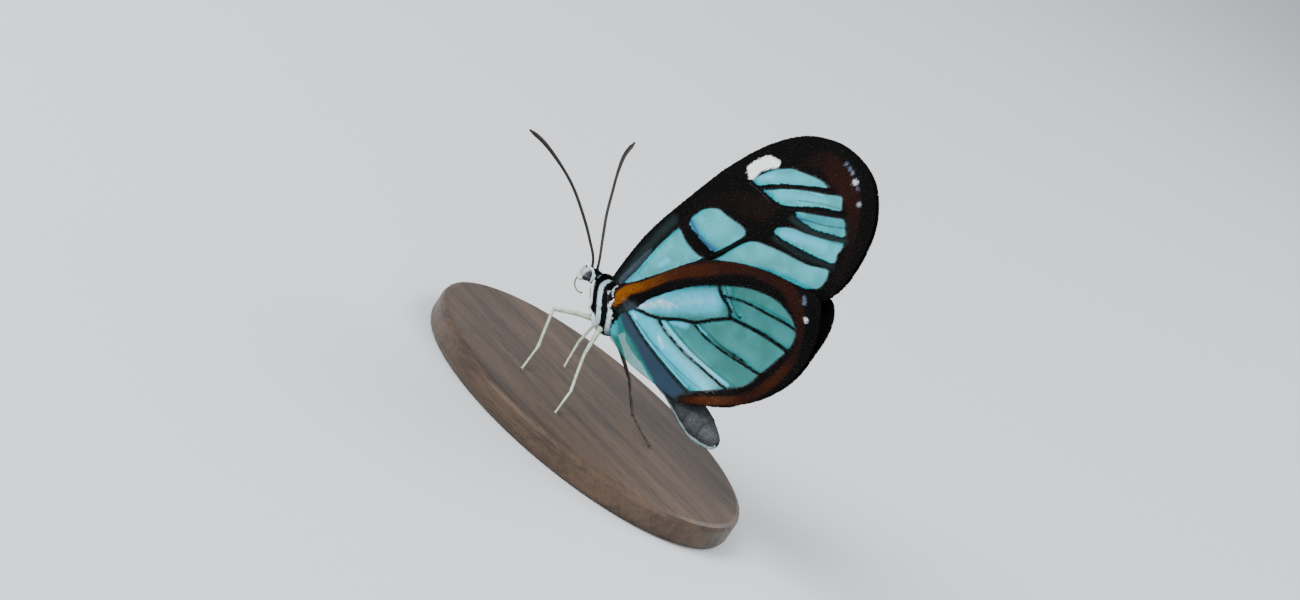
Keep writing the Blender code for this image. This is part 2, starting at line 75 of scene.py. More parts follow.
# Wings, seen from the side. A row of numbers is a distance back and a height in turn. A vein starts with its half
# width at its start and its end, and a stroke with its half width and strength, under the field that it raises.
# Warm, for orange and rust, is distance back, height, half width and strength along a line. A dot, for white, is
# distance back, height, radius and strength. A patch is its field, the width of its soft edge and its loop.
FOREWING = {
    "middle": (8, 13),
    "edge": (-1, 0.3, -1, 3, -0.7, 6, 0.9, 11.6, 2.7, 16.3, 4.7, 19.7, 7.3, 22.3, 10.8, 23.5, 14.4, 22.8, 16.6, 20.4,
        17.5, 17, 17.4, 14.2, 16.8, 12.5),
    "inner": (16.8, 12.5, 9, 9.2, 4.6, 5.4, 1.6, 2.4, 0.9, 0.3),
    "panes": [
        (0.05, 1.8, 0.25, 2.6, 0.48, 3.4, 0.65, 4.5, 0.78, 5.5, 0.95, 6.5, 1.2, 7.8, 1.6, 8.9, 3.1, 8.5, 5.2, 8.45,
            5.7, 8.7, 4.6, 6.9, 3.2, 5, 1.7, 3.1, 0.9, 2),
        (2.15, 9.85, 2.4, 11.2, 3.1, 12, 3.9, 12.5, 5, 12.6, 5.9, 12.7, 6.6, 12.8, 7.3, 12.7, 7.55, 12.35,
            7.35, 11.85, 6.9, 10.9, 6.15, 9.4, 5.2, 9.2, 4.2, 9.3),
        (6.4, 9.35, 7.25, 11.05, 7.7, 11.8, 8.2, 12.35, 9.5, 12.95, 11, 13.4, 12.6, 13.8, 13.9, 14.15, 15, 14.7,
            15.7, 14.95, 16, 14.4, 16.05, 13.8, 15.95, 13.25, 15.4, 12.7, 13.4, 11.6, 9.2, 10, 5.2, 6.8, 2.2, 3.5,
            1.5, 2.5, 2.9, 4.4, 4.6, 6.7),
        (9.45, 14.2, 9.45, 14.6, 9.9, 15.05, 10.7, 15.55, 11.9, 15.95, 13, 16.4, 14.5, 17.05, 15.5, 17.5, 15.65, 16.9,
            15.6, 16.35, 15.85, 15.8, 15.7, 15.5, 14.8, 15.15, 13.2, 14.7, 11.7, 14.35, 10.5, 14.1, 9.8, 14.05),
        (10.1, 16.6, 11.5, 17.55, 12.7, 18.2, 13.7, 18.75, 14.3, 19, 14.65, 18.8, 14.8, 18.5, 15.05, 18.3,
            15.3, 17.95, 15.1, 17.65, 14.3, 17.3, 13.3, 16.85, 12.25, 16.5, 11.3, 16.35, 10.6, 16.35),
        (6.15, 16.05, 6.95, 16.7, 8, 17.55, 9.3, 18.4, 10.7, 19.15, 11.6, 19.6, 12.45, 20.1, 13, 20.3, 13.4, 19.8,
            13.7, 19.35, 13.4, 19.05, 12.4, 18.6, 11.3, 17.9, 10.2, 17.15, 9.05, 16.4, 8.2, 16.15, 7.2, 16.05),
        (5, 16.1, 5.3, 17.05, 5.85, 17.85, 6.6, 18.55, 7.6, 19.3, 8.5, 19.6, 9.4, 19.9, 10.3, 20.15, 11.2, 20.2,
            11.65, 20.1, 10.95, 19.65, 9.9, 19, 8.9, 18.35, 7.9, 17.75, 6.65, 16.75, 5.9, 16.15, 5.4, 16),
    ],
    "veins": [
        (0.2, 0.1, -0.1, 1.4, 0.45, 5, 1.8, 9.8, 4.1, 15, 7.6, 20, 12, 22.7),
        (0.14, 0.12, 0.5, 1.4, 2.2, 3.7, 4.3, 6.6, 5.9, 9, 6.9, 10.7, 7.9, 12.5, 8.7, 14, 8.8, 15.4, 7.8, 15.9,
            5.1, 16),
        (0.01, 0.1, 5.1, 15.7, 5.95, 16.1, 6.8, 16.75, 7.95, 17.65, 9.1, 18.4, 10.4, 19.15, 11.3, 19.65, 12.3, 20.2,
            14.8, 21.5),
        (0.1, 0.08, 8.2, 15.8, 9.5, 16.45, 10.2, 16.95, 11.4, 17.75, 12.6, 18.42, 14, 19.2, 16.2, 20.2),
        (0.1, 0.1, 8.8, 15.4, 10.2, 15.9, 11.3, 16.1, 12.2, 16.25, 13.2, 16.65, 14.4, 17.15, 15.4, 17.6, 16.9, 18),
        (-0.02, -0.01, 10.9, 16.6, 12, 17.05, 13.3, 17.6, 14.7, 18.4),
        (-0.03, -0.02, 9.8, 17.6, 11.2, 18.4, 12.3, 18.95, 13.6, 19.5),
        (0.16, 0.12, 7.9, 12.5, 9.1, 13.5, 10.3, 13.85, 11.5, 14, 13.2, 14.35, 14.6, 14.9, 17, 15.4),
        (0, 0, 4.9, 15.9, 5.15, 16.7, 5.6, 17.5, 6.1, 18.15, 6.6, 18.65),
    ],
    "warm": [(0.2, 1, 0.4, 0.2), (5, 13.9, 0.9, 0.16), (7.2, 14.8, 1.2, 0.26), (8.2, 19.9, 0.4, 0.12),
        (9.6, 21.35, 0.9, 0.3), (11.6, 21.3, 1.1, 0.42), (13.4, 20.7, 0.95, 0.44), (14.6, 19.7, 0.65, 0.38),
        (16.2, 17, 0.4, 0.16), (16.7, 14.6, 0.4, 0.14)],
    "dots": [(11.45, 22.42, 0.18, 0.14), (12, 22.3, 0.18, 0.17), (12.4, 22.18, 0.18, 0.22),
        (13.08, 21.74, 0.25, 0.75), (13.62, 21.47, 0.17, 0.1), (14.5, 20.57, 0.2, 0.36)],
    "patch": ("white", 0.12, (3.95, 16.6, 4.1, 17.15, 4.5, 17.9, 5.05, 18.6, 5.7, 18.8, 6.35, 18.83, 6.45, 18.6,
        5.85, 17.87, 5.3, 17.12, 5.05, 16.2, 4.85, 16.05, 4.3, 16.25)),
    "strokes": {
        # a painted blue-violet sheen on the clear glass, beside the dark bar and at the end of a pane
        "violet": [(0.4, 1, 2.2, 10.1, 4.2, 9.55, 5.9, 9.6), (0.5, 0.9, 10.2, 16.4, 11.1, 16.5)],
        # slate blue: a band along the front edge at the root, and painted shade along and below veins where the other
        # wing's veins lie behind
        "slate": [(0.75, 1, -0.1, 0.9, -0.05, 3, 0.3, 6, 0.9, 8.9), (0.5, 0.9, 10.2, 16, 11.3, 16.1, 12.2, 16.27,
            13.3, 16.65, 14.4, 17.12, 15.4, 17.55), (0.45, 0.7, 9.9, 13.75, 11.4, 13.98, 13.2, 14.35, 14.6, 14.85,
            15.7, 15.25), (1.1, 0.3, 11.4, 16.9, 13, 17.7, 14.5, 18.3)],
        "white": [(0.4, 0.06, 0, 1.9, 0.2, 3, 0.5, 4.3, 0.8, 5.4)],
        # a painted sheen and painted highlights on the clear panes
        "gleam": [(0.5, 0.62, 2.2, 5.4, 2.6, 6.1), (0.7, 0.5, 0.6, 2.2, 1.2, 3), (0.7, 0.3, 8, 16.9, 9.8, 17.9,
            11.2, 18.6), (0.2, 0.5, 10.4, 18.9, 11.4, 19.3), (0.8, 0.4, 10.3, 14.6, 12.6, 15.6, 14.2, 16.2),
            (0.6, 0.6, 5.6, 16.9, 6.6, 17.7), (0.7, 0.25, 6.6, 17.7, 8.8, 19)],
    },
}
HINDWING = {
    "middle": (9.5, 4.5),
    "edge": (0.42, 0.5, 0.34, 1.2, 0.44, 1.85, 0.95, 2.38, 1.5, 2.98, 2.9, 4.8, 5.9, 8.5, 9.4, 10.7, 13.7, 12.2,
        17.1, 12.6, 18.3, 10.8, 18.7, 8.6, 18.6, 6.2, 17.6, 3.6, 15.5, 0.9, 13.8, -0.6, 11.8, -1.8, 8.6, -2.3,
        4.8, -2.6, 2.6, -2.2),
    "inner": (2.6, -2.2, 1.6, -1, 0.75, 0.1, 0.42, 0.5),
    "panes": [
        (2.2, 0.3, 2.7, 1, 2.95, 1.7, 3.22, 2.35, 3.62, 2.95, 4.02, 3.52, 5.2, 5, 6.9, 6.8, 9, 8.4, 10.5, 9.3,
            12, 9.9, 13.5, 10.3, 15, 10.2, 16.2, 9.7, 16.7, 9, 16.8, 7.6, 16.5, 6.3, 16, 4.6, 15.4, 2.8, 14.2, 1.5,
            12.7, 0, 11.7, -0.9, 11, -2, 10.3, -2.7, 8, -2.9, 5.5, -3.1, 3.4, -3, 2.3, -2.3, 2, -0.6),
    ],
    "veins": [
        (0.16, 0.08, 1.6, 1.3, 2.9, 2.7, 5.2, 5.3, 8.3, 7.9, 11, 9.6, 14, 10.5, 17.6, 10.7),
        (0.1, 0.1, 1.9, 1, 3.1, 1.29, 4.87, 1.86, 5.85, 2.42, 6.8, 3.1, 8.05, 3.77, 9.2, 4.88, 10.67, 6.2),
        (0.09, 0.1, 10.67, 6.2, 10.05, 6.93, 9.1, 7.25, 8.4, 7.85),
        (-0.01, 0.03, 8.9, 8.15, 9.6, 7.7, 10.25, 7.37, 10.95, 6.9, 11.4, 6.8),
        (0.05, 0.09, 9.3, 7.4, 11.2, 8.2, 13.6, 8.8, 16, 9.3, 18.2, 9.3),
        (0.1, 0.13, 10.6, 6.2, 13.7, 7, 16.8, 7.4, 18.4, 7.3),
        (0.04, 0.1, 8.1, 3.6, 9.5, 3.45, 11, 3.55, 12.5, 3.75, 14.3, 4.08, 17.5, 4.6),
        (-0.02, 0.05, 8.5, 4, 9.7, 3.93, 11.4, 3.9, 12.7, 4.05, 14.2, 4.25),
        (0.05, 0.05, 5, 1.9, 5.9, 1.65, 7.4, 1.47, 9.3, 1.4, 11, 1.45, 12.5, 1.48, 14, 1.5, 15.2, 1.7),
        (-0.02, -0.02, 5.8, 2.3, 7.3, 2.08, 8.8, 1.91, 10.3, 1.85, 12.1, 1.94, 14.4, 2.1, 15.4, 2.2),
        (0.07, 0.08, 2.5, 0.6, 3.25, 0.36, 4.1, 0.17, 5, -0.05, 6.45, -0.25, 8.7, -0.47, 10.8, -0.6, 12.2, -0.62),
        (-0.035, -0.03, 3.6, 0.6, 5.6, 0.27, 7, 0.17, 9.2, 0.12, 11.2, 0.16, 12.8, 0.3),
    ],
    "warm": [(0.95, 0.5, 0.6, 1), (1.25, 1.25, 0.6, 1), (1.42, 1.9, 0.52, 1), (1.85, 2.48, 0.5, 0.95),
        (2.3, 2.97, 0.48, 0.88), (3.05, 4.05, 0.48, 0.82), (3.7, 5, 0.5, 0.74), (4.75, 6.3, 0.58, 0.64),
        (6.4, 7.85, 0.66, 0.6), (7.9, 9.15, 0.62, 0.54), (9.6, 10.35, 0.52, 0.52), (11.7, 11.05, 0.45, 0.44),
        (13.8, 11.5, 0.6, 0.48), (15.3, 11.05, 0.75, 0.48), (16.1, 10.5, 0.55, 0.48), (16.75, 9.5, 0.4, 0.4),
        (17.2, 8.4, 0.36, 0.36), (17.4, 7.4, 0.42, 0.38), (17.4, 6.4, 0.46, 0.54), (17.2, 5.2, 0.5, 0.55),
        (16.85, 4.05, 0.5, 0.57), (16.2, 2.5, 0.44, 0.5), (15.15, 1.2, 0.44, 0.56), (14.3, 0.5, 0.42, 0.7),
        (13.5, -0.15, 0.42, 0.72), (12.6, -0.8, 0.4, 0.64), (11.7, -1.5, 0.3, 0.5)],
    "dots": [(15.6, 11.95, 0.2, 0.14), (15.85, 11.65, 0.2, 0.2), (16.74, 10.6, 0.22, 0.8)],
    # this slate patch is painted shade: the abdomen in shade behind the clear hindwing
    "patch": ("slate", 0.3, (2.2, 0.75, 2.9, 0.5, 4.1, 0.22, 5, 0, 6.5, -0.18, 8.7, -0.4, 10.8, -0.53, 12.3, -0.55,
        12.1, -1.2, 11, -2.6, 10.2, -2.9, 9.3, -2.45, 8.7, -2.2, 6.7, -1.62, 5, -1.06, 3, -0.55, 2.4, -0.1)),
    "strokes": {
        "white": [(0.05, 0.5, 0.5, 1.75, 0.42, 1.3, 0.5, 1, 0.72, 0.72), (0.1, 0.9, 0.98, 0.6, 0.95, 0.1, 1.3, -0.8,
            1.45, -1.1), (0.4, 0.03, 1.8, 1.1, 2.4, 1, 3, 1.15)],
        # a painted sheen and painted highlights on the clear panes
        "gleam": [(0.6, 0.85, 4.5, 3.2, 5.2, 3.6), (0.4, 0.8, 5.4, 3.7, 6, 3.8), (1.2, 0.8, 3.1, 1.8, 4.4, 2.9,
            5.2, 3.4), (1.7, 0.6, 4.6, 3.3, 6.5, 4.7, 8.6, 6.3), (1.3, 0.42, 3.2, 0.9, 5, 0.9, 8, 0.55, 12.8, 0.5),
            (0.5, 0.75, 6.4, 0.85, 7.4, 0.5), (0.8, 0.3, 1.1, 0, 1.9, -0.8, 2.6, -1.5), (0.35, 0.85, 3.1, 0.85,
            3.6, 0.72), (0.14, 0.66, 3.6, 0.45, 5.6, 0.07, 7, -0.08, 9.2, -0.26, 11.6, -0.4), (0.24, 0.55, 5.2, 2.05,
            7.3, 1.78, 9.3, 1.65, 12, 1.7, 14, 1.8), (0.6, 0.4, 6.2, 2.5, 7.6, 3.1), (0.12, 0.5, 8.5, 3.78, 9.7, 3.7),
            (0.35, 0.25, 9.2, 7.5, 10.4, 7.1)],
        "slate": [(0.6, 0.9, 2, 0.3, 2.35, 0.9, 2.55, 1.3)],
    },
}

# How the solid wings stand off the middle plane, and how far out the thin ones lie in them
WING_REST, ROOT_SPREAD, ROOT_EASE = 0.17, 0.25, 2.0
HINDWING_LIFT, LIFT_EASE, WRAP_EASE, WRAP_CLEAR, WRAP_GAP = 0.84, 4.0, 3.2, 0.4, 0.4
INNER_SLOPE = 35
ABDOMEN = np.array(BODY[13:])
SCALE_SPACING = 0.155
LINE_STEP = 0.3

# Eyes, hips, feelers, mouth parts and legs, all of the left side but for the right legs
EYE_CENTRE, EYE_RADII = np.array([-3.12, -0.62, 0.37]), np.array([0.5, 0.48, 0.58])
EYE_RIM = [(-3.34, -0.48, 0.9), (-3.12, -0.52, 0.98), (-2.94, -0.54, 0.95), (-2.76, -0.49, 0.8), (-2.6, -0.5, 0.58),
           (-2.53, -0.5, 0.28), (-2.53, -0.42, -0.08)]
COXA = [(0.1, -1.32, -1.15), (0.32, -1.3, -1.6), (0.5, -1.12, -2.0), (0.6, -0.85, -2.35)]
ANTENNA = [(-3.1, -0.42, 0.75), (-3.35, -0.42, 1.35), (-4.67, -0.95, 2.95), (-6.24, -1.79, 4.55),
           (-7.76, -2.94, 6.06), (-9.33, -4.38, 7.27)]
ANTENNA_TIPS = {"left": [(-10.86, -6.07, 8.22), (-11.6, -7.06, 8.5)],
                "right": [(-10.8, -6.1, 8.4), (-11.6, -7.6, 9.2)]}
PALP = [(-3.3, -0.35, -0.15), (-3.6, -0.45, -0.35), (-3.85, -0.48, -0.15), (-3.87, -0.48, 0.3), (-3.74, -0.46, 0.7)]
PROBOSCIS = [(-3.3, 0.0, -0.35), (-3.9, 0.0, -0.35), (-4.17, 0.0, -0.7), (-4.05, 0.0, -1.25), (-3.72, 0.0, -1.49),
             (-3.3, 0.0, -1.57), (-2.95, 0.0, -1.45)]
LEGS = {
    "midleg_left": [(0.2, -0.6, -1.95), (-1.9, -4.0, -2.75), (-0.9, -4.35, -6.0), (-0.05, -5.95, -7.68)],
    "hindleg_left": [(1.0, -0.7, -2.0), (3.4, -4.5, -3.45), (5.2, -6.0, -6.1), (6.05, -7.6, -7.68)],
    "midleg_right": [(0.2, 0.6, -1.95), (-2.1, 3.5, -3.2), (-1.75, 2.1, -5.7), (-0.85, 0.85, -7.68)],
    "hindleg_right": [(1.0, 0.7, -2.0), (4.0, 3.0, -5.2), (6.9, 1.9, -6.9), (10.1, 1.6, -7.68)],
}
FORELEG = [(-1.8, -1.0, 0.55), (-1.55, -1.45, 0.36), (-1.09, -1.6, -0.17), (-0.55, -1.62, -0.98), (-0.5, -1.58, -1.32),
           (0.08, -1.4, -1.55)]
CLAW_FLOOR = -7.76

# How many: the body's skin points and coat cells along and round, an eye's facets, its points from top to bottom
# and round, a feeler's points and rings, and a wing's skin points from rim to middle and round
SKIN_GRID, COAT_CELLS = (420, 96), (700, 120)
EYE_FACETS, EYE_GRID = 760, (150, 190)
FEELER_POINTS, FEELER_RINGS = 330, 46
MEMBRANE_GRID = (80, 320)

# Blades from root to tip: a share of the length, a share of the half width, and a height as a share of the length
COAT_ROWS = [(0.0, 0.7, -0.1), (0.55, 1.0, 0.14), (1.0, 0.25, 0.2)]
WING_SCALE_ROWS = [(0.0, 0.5, -0.06), (0.5, 1.0, 0.07), (1.0, 0.72, 0.13)]
HAIR_ROWS = [(0.0, 0.75, -0.1), (0.5, 0.9, 0.14), (1.0, 0.15, 0.24)]
# The side of a blade's patch on its map
PATCH = 0.003

# Hair on a thigh, shin and foot: count, length, width and lean
LEG_HAIR = ((700, 0.13, 0.04, 0.85), (520, 0.13, 0.04, 0.6), (300, 0.09, 0.04, 0.55))

# The studio: half the floor's side in metres, where the lights aim, and each light's place, size and power
FLOOR_HALF, LIT_PLACE = 4.0, np.array([0.0, 0.0, 0.016])
LIGHTS = (("key", (-0.16, -0.3, 0.34), 0.3, 3.4), ("fill", (0.34, -0.14, 0.2), 0.3, 0.8),
          ("rim", (0.1, 0.32, 0.3), 0.25, 1.2))


# Shapes

def pairs(numbers):
    """Places seen from the side, from a row of numbers: a distance back and a height in turn."""
    return np.reshape(numbers, (-1, 2)).astype(float)


def distances(line):
    """How far along a line each of its points is."""
    return np.concatenate([[0.0], np.cumsum(np.linalg.norm(np.diff(line, axis=0), axis=1))])


def shares(line):
    """Even steps from 0 to 1, one for each point of a line."""
    return np.linspace(0.0, 1.0, len(line))


def circle(count):
    """Even steps of one whole turn."""
    return np.arange(count) * math.tau / count


def grid(first, second):
    """Each of the first values with each of the second, as two tables."""
    return np.meshgrid(first, second, indexing="ij")


def on_side(points, sign):
    """Points of the left side, on the side of the sign."""
    return [(x, -sign * y, z) for x, y, z in points]


def faced(rings, sign):
    """Rings turned the other way round on the right side, so that their skin faces out."""
    return rings[:, ::1 if sign < 0 else -1]


def along(points, step):
    """A smooth line through all the given points, about a step apart: each stretch between two of them is the
    cubic that leaves and arrives with the slope found from their neighbours' places."""
    given = np.array(points, float)
    run = distances(given)
    slope = np.gradient(given, run, axis=0)
    places = []
    for i, length in enumerate(np.diff(run)):
        pieces = max(1, round(length / step))
        t = (np.arange(pieces) / pieces)[:, None]
        places.append(given[i] * (1 + 2 * t) * (1 - t) ** 2 + given[i + 1] * t * t * (3 - 2 * t)
                      + length * (slope[i] * t * (1 - t) ** 2 - slope[i + 1] * t * t * (1 - t)))
    return np.vstack(places + [given[-1:]])


def loop_along(points, step):
    """A closed smooth line: the open one through the loop with three points more at each end, cut to one turn."""
    line = along(np.vstack([points[-3:], points, points[:3]]), step)
    away = np.linalg.norm(line - points[0], axis=1)
    first = np.argmin(away)
    away[:first + 4] = np.inf
    return line[first:np.argmin(away)]


def spread(line, count):
    """The line's points set again at equal distances along it."""
    run = distances(line)
    places = np.linspace(0.0, run[-1], count)
    return np.stack([np.interp(places, run, column) for column in line.T], axis=1)


def nearest(points, line):
    """For each point the distance to a line of points, and how far along it, from 0 to 1, the nearest place is."""
    before = distances(line)
    best, place = np.full(len(points), np.inf), np.zeros(len(points))
    for start, run, done in zip(line, np.diff(line, axis=0), before):
        size = np.linalg.norm(run)
        t = np.clip((points - start) @ run / max(size * size, 1e-12), 0.0, 1.0)
        away = np.linalg.norm(points - start - t[:, None] * run, axis=1)
        closer = away < best
        best[closer], place[closer] = away[closer], (done + t[closer] * size) / before[-1]
    return best, place


def depth_in(points, loop):
    """How deep each point lies inside a closed loop, and below zero how far outside it: the distance to the
    loop, with its sign from how often a level ray crosses it."""
    closed = np.vstack([loop, loop[:1]])
    away, _ = nearest(points, closed)
    x, z = points.T
    crossed = np.zeros(len(points), bool)
    for (x0, z0), (x1, z1) in zip(closed[:-1], closed[1:]):
        if z0 != z1:
            crossed ^= ((z0 > z) != (z1 > z)) & (x < (x1 - x0) * (z - z0) / (z1 - z0) + x0)
    return np.where(crossed, away, -away)


def eased(t):
    """A ramp from 0 to 1 that starts and ends level: 3 t squared less 2 t cubed."""
    t = np.clip(t, 0.0, 1.0)
    return t * t * (3.0 - 2.0 * t)


def unit(vectors):
    return vectors / np.maximum(np.linalg.norm(vectors, axis=-1, keepdims=True), 1e-12)


class Shape:
    """Points in millimetres, faces as arrays of three or four corners, and numbers for each point."""

    def __init__(self, points, faces, **fields):
        self.points, self.faces, self.fields = points, faces, fields


def joined(shapes):
    """Several shapes with the same fields as one."""
    starts = np.cumsum([0] + [len(shape.points) for shape in shapes])
    return Shape(np.vstack([shape.points for shape in shapes]),
                 [face + start for shape, start in zip(shapes, starts) for face in shape.faces],
                 **{name: np.concatenate([shape.fields[name] for shape in shapes]) for name in shapes[0].fields})


def lofted(rings, **fields):
    """A closed skin over rings of points, rings by points by 3: squares between neighbouring rings, and a fan
    of triangles from a point in the middle of each end ring."""
    count, around = rings.shape[:2]
    index = np.arange(count * around).reshape(count, around)
    low, high = index[:-1], index[1:]
    squares = np.stack([low, high, np.roll(high, -1, 1), np.roll(low, -1, 1)], axis=-1).reshape(-1, 4)
    start = np.stack([index[0], np.roll(index[0], -1), np.full(around, index.size)], axis=1)
    end = np.stack([np.roll(index[-1], -1), index[-1], np.full(around, index.size + 1)], axis=1)
    points = np.vstack([rings.reshape(-1, 3), rings[0].mean(0), rings[-1].mean(0)])
    return Shape(points, [squares, np.vstack([start, end])],
                 **{name: np.append(field, [field.flat[0], field.flat[-1]]) for name, field in fields.items()})


def tube(line, radii, around=12):
    """A round profile carried along a line: each ring stands square to the line, turned from a fixed direction
    that the line never follows, and the end rings shrink to round the ends off."""
    course = unit(np.gradient(line, axis=0))
    spare = np.eye(3)[np.argmin(np.abs(course).max(axis=0))]
    across = unit(np.cross(course, spare))
    over = np.cross(course, across)
    caps = np.array([0.35, 0.75, 0.95])
    ends = np.sqrt(1.0 - caps ** 2) * 0.9
    centres = np.vstack([line[0] - course[0] * (radii[0] * ends)[:, None], line,
                         line[-1] + course[-1] * (radii[-1] * ends)[::-1][:, None]])
    sizes = np.concatenate([radii[0] * caps, radii, (radii[-1] * caps)[::-1]])
    across, over = (np.pad(way, ((3, 3), (0, 0)), "edge")[:, None] for way in (across, over))
    turn = circle(around)[:, None]
    rings = centres[:, None] + sizes[:, None, None] * (across * np.cos(turn) + over * np.sin(turn))
    return lofted(rings, part=np.repeat(np.pad(shares(line), 3, "edge"), around))


def blades(roots, normals, lies, lengths, widths, rows, **fields):
    """Scales and hairs as small flat blades. Each is a few rows of two points: a row is a share of the length
    along the lie, a share of the half width to each side, and a height over the skin as a share of the length."""
    count = len(roots)
    lies = unit(lies - normals * (lies * normals).sum(1, keepdims=True))
    sides = np.cross(normals, lies)
    far, half, height = np.array(rows).T
    middle = (roots[:, None] + lies[:, None] * (far * lengths[:, None])[..., None]
              + normals[:, None] * (height * lengths[:, None])[..., None])
    reach = sides[:, None] * (half * widths[:, None] / 2)[..., None]
    points = np.stack([middle - reach, middle + reach], axis=2).reshape(-1, 3)
    each = len(rows) * 2
    steps = np.arange(len(rows) - 1) * 2
    quads = np.stack([steps, steps + 1, steps + 3, steps + 2], axis=1)
    faces = (quads[None] + np.arange(count)[:, None, None] * each).reshape(-1, 4)
    fields = {name: np.repeat(values, each) for name, values in fields.items()}
    return Shape(points, [faces], **fields)


def shown(name, data):
    """A new object of the data, linked into the scene."""
    made = bpy.data.objects.new(name, data)
    bpy.context.scene.collection.objects.link(made)
    return made


def piece(name, shape, finish, slot, replaces=(), spots=None):
    """A mesh object from a shape, in the part's frame, riding on its one body. Blades come with spots, one for
    each: they stay flat and get the map OFBake, where each has a small patch at its spot, a row at a time."""
    mesh = bpy.data.meshes.new(name)
    corners = np.concatenate([f.reshape(-1) for f in shape.faces])
    sizes = np.concatenate([np.full(len(f), f.shape[1]) for f in shape.faces])
    mesh.vertices.add(len(shape.points))
    mesh.vertices.foreach_set("co", ((shape.points + ROOT) * MM).astype(np.float32).reshape(-1))
    mesh.loops.add(len(corners))
    mesh.loops.foreach_set("vertex_index", corners.astype(np.int32))
    mesh.polygons.add(len(sizes))
    mesh.polygons.foreach_set("loop_start", (np.cumsum(sizes) - sizes).astype(np.int32))
    mesh.polygons.foreach_set("use_smooth", np.full(len(sizes), spots is None))
    mesh.update(calc_edges=True)
    for label, values in shape.fields.items():
        mesh.attributes.new(label, "FLOAT", "POINT").data.foreach_set("value", values.astype(np.float32))
    if spots is not None:
        patch = np.array([(x, y) for y in np.linspace(0.0, PATCH, 3) for x in (0.0, PATCH)])
        places = (spots[:, None] + patch).reshape(-1, 2)[corners]
        mesh.uv_layers.new(name="OFBake").data.foreach_set("uv", places.astype(np.float32).reshape(-1))
    mesh.materials.append(finish)
    made = shown(name, mesh)
    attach(made, "root")
    if replaces:
        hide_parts(*replaces)


# Finishes

def maths(operation, swapped=False):
    """An operator of Signal that adds one Math node."""
    def worked_out(first, second):
        values = (second, first) if swapped else (first, second)
        return first.finish.node("ShaderNodeMath", {"operation": operation}, values)
    return worked_out


class Signal:
    """A shader socket. An expression on it adds the Math nodes that work it out."""

    __add__ = __radd__ = maths("ADD")
    __mul__ = __rmul__ = maths("MULTIPLY")
    __sub__, __rsub__ = maths("SUBTRACT"), maths("SUBTRACT", True)
    larger = maths("MAXIMUM")

    def __init__(self, finish, socket):
        self.finish, self.socket = finish, socket


class Finish:
    """A material in the making, with one method for every node and short names for those it uses most."""

    def __init__(self, name):
        self.material = bpy.data.materials.new(name)
        self.material.use_nodes = True
        self.tree = self.material.node_tree
        self.shader = self.tree.nodes["Principled BSDF"]

    def feed(self, socket, value):
        if isinstance(value, Signal):
            self.tree.links.new(value.socket, socket)
        else:
            socket.default_value = (*value, 1.0) if socket.type == "RGBA" else value

    def node(self, kind, settings=(), values=(), output=0):
        made = self.tree.nodes.new(kind)
        for name, value in dict(settings).items():
            if name == "stops":
                made.color_ramp.elements[0].position, made.color_ramp.elements[1].position = 0.0, 1.0
                for place, colour in value[1:-1]:
                    made.color_ramp.elements.new(place)
                for stop, (place, colour) in zip(made.color_ramp.elements, value):
                    stop.position, stop.color = place, (*colour, 1.0)
            else:
                setattr(made, name, value)
        for key, value in (values.items() if isinstance(values, dict) else enumerate(values)):
            self.feed(made.inputs[key], value)
        return Signal(self, made.outputs[output])

    def place(self):
        return self.node("ShaderNodeTexCoord", output="Object")

    def field(self, name):
        return self.node("ShaderNodeAttribute", {"attribute_name": name}, output="Fac")

    def noise(self, size, detail=3.0, roughness=0.5, vector=None):
        """Soft noise from 0 to 1 whose lumps are about size millimetres across."""
        return self.node("ShaderNodeTexNoise", {}, {"Vector": vector or self.place(), "Scale": 1 / (size * MM),
                                                    "Detail": detail, "Roughness": roughness})

    def streaks(self, size, detail, roughness, squeeze):
        """The same noise drawn out along X: a squeeze of a tenth makes its lumps ten times as long."""
        return self.noise(size, detail, roughness, self.node(
            "ShaderNodeMapping", {}, {"Vector": self.place(), "Scale": (squeeze, 1.0, 1.0)}))

    def ramp(self, value, low, high):
        """0 below low and 1 above high, with a smooth step between."""
        return self.node("ShaderNodeMapRange", {"interpolation_type": "SMOOTHSTEP"},
                         {"Value": value, "From Min": low, "From Max": high})

    def mix(self, below, above, share):
        return self.node("ShaderNodeMix", {"data_type": "RGBA"}, {0: share, 6: below, 7: above}, output=2)

    def scaled(self, colour, amount):
        return self.node("ShaderNodeVectorMath", {"operation": "SCALE"}, {0: colour, "Scale": amount})

    def ends(self, roughness, specular=0.3, bump=None, bump_depth=0.02, **sockets):
        """Sets the shader's sockets by name, with bump as a height whose full step is bump_depth millimetres."""
        self.feed(self.shader.inputs["Roughness"], roughness)
        self.feed(self.shader.inputs["Specular IOR Level"], specular)
        for name, value in sockets.items():
            self.feed(self.shader.inputs[name.replace("_", " ").title()], value)
        if bump is not None:
            self.feed(self.shader.inputs["Normal"], self.node(
                "ShaderNodeBump", {}, {"Strength": 1.0, "Distance": bump_depth * MM, "Height": bump}))
        return self.material


# The colours of a wing's scales, by a place from 0 to 1 on the way from black to orange
SCALE_COLOURS = [
    (0.0, (0.0032, 0.0028, 0.0027)), (0.25, (0.0095, 0.0048, 0.0042)), (0.4, (0.0175, 0.0058, 0.0045)),
    (0.52, (0.026, 0.0075, 0.004)), (0.72, (0.064, 0.0165, 0.004)), (1.0, (0.23, 0.07, 0.005))]


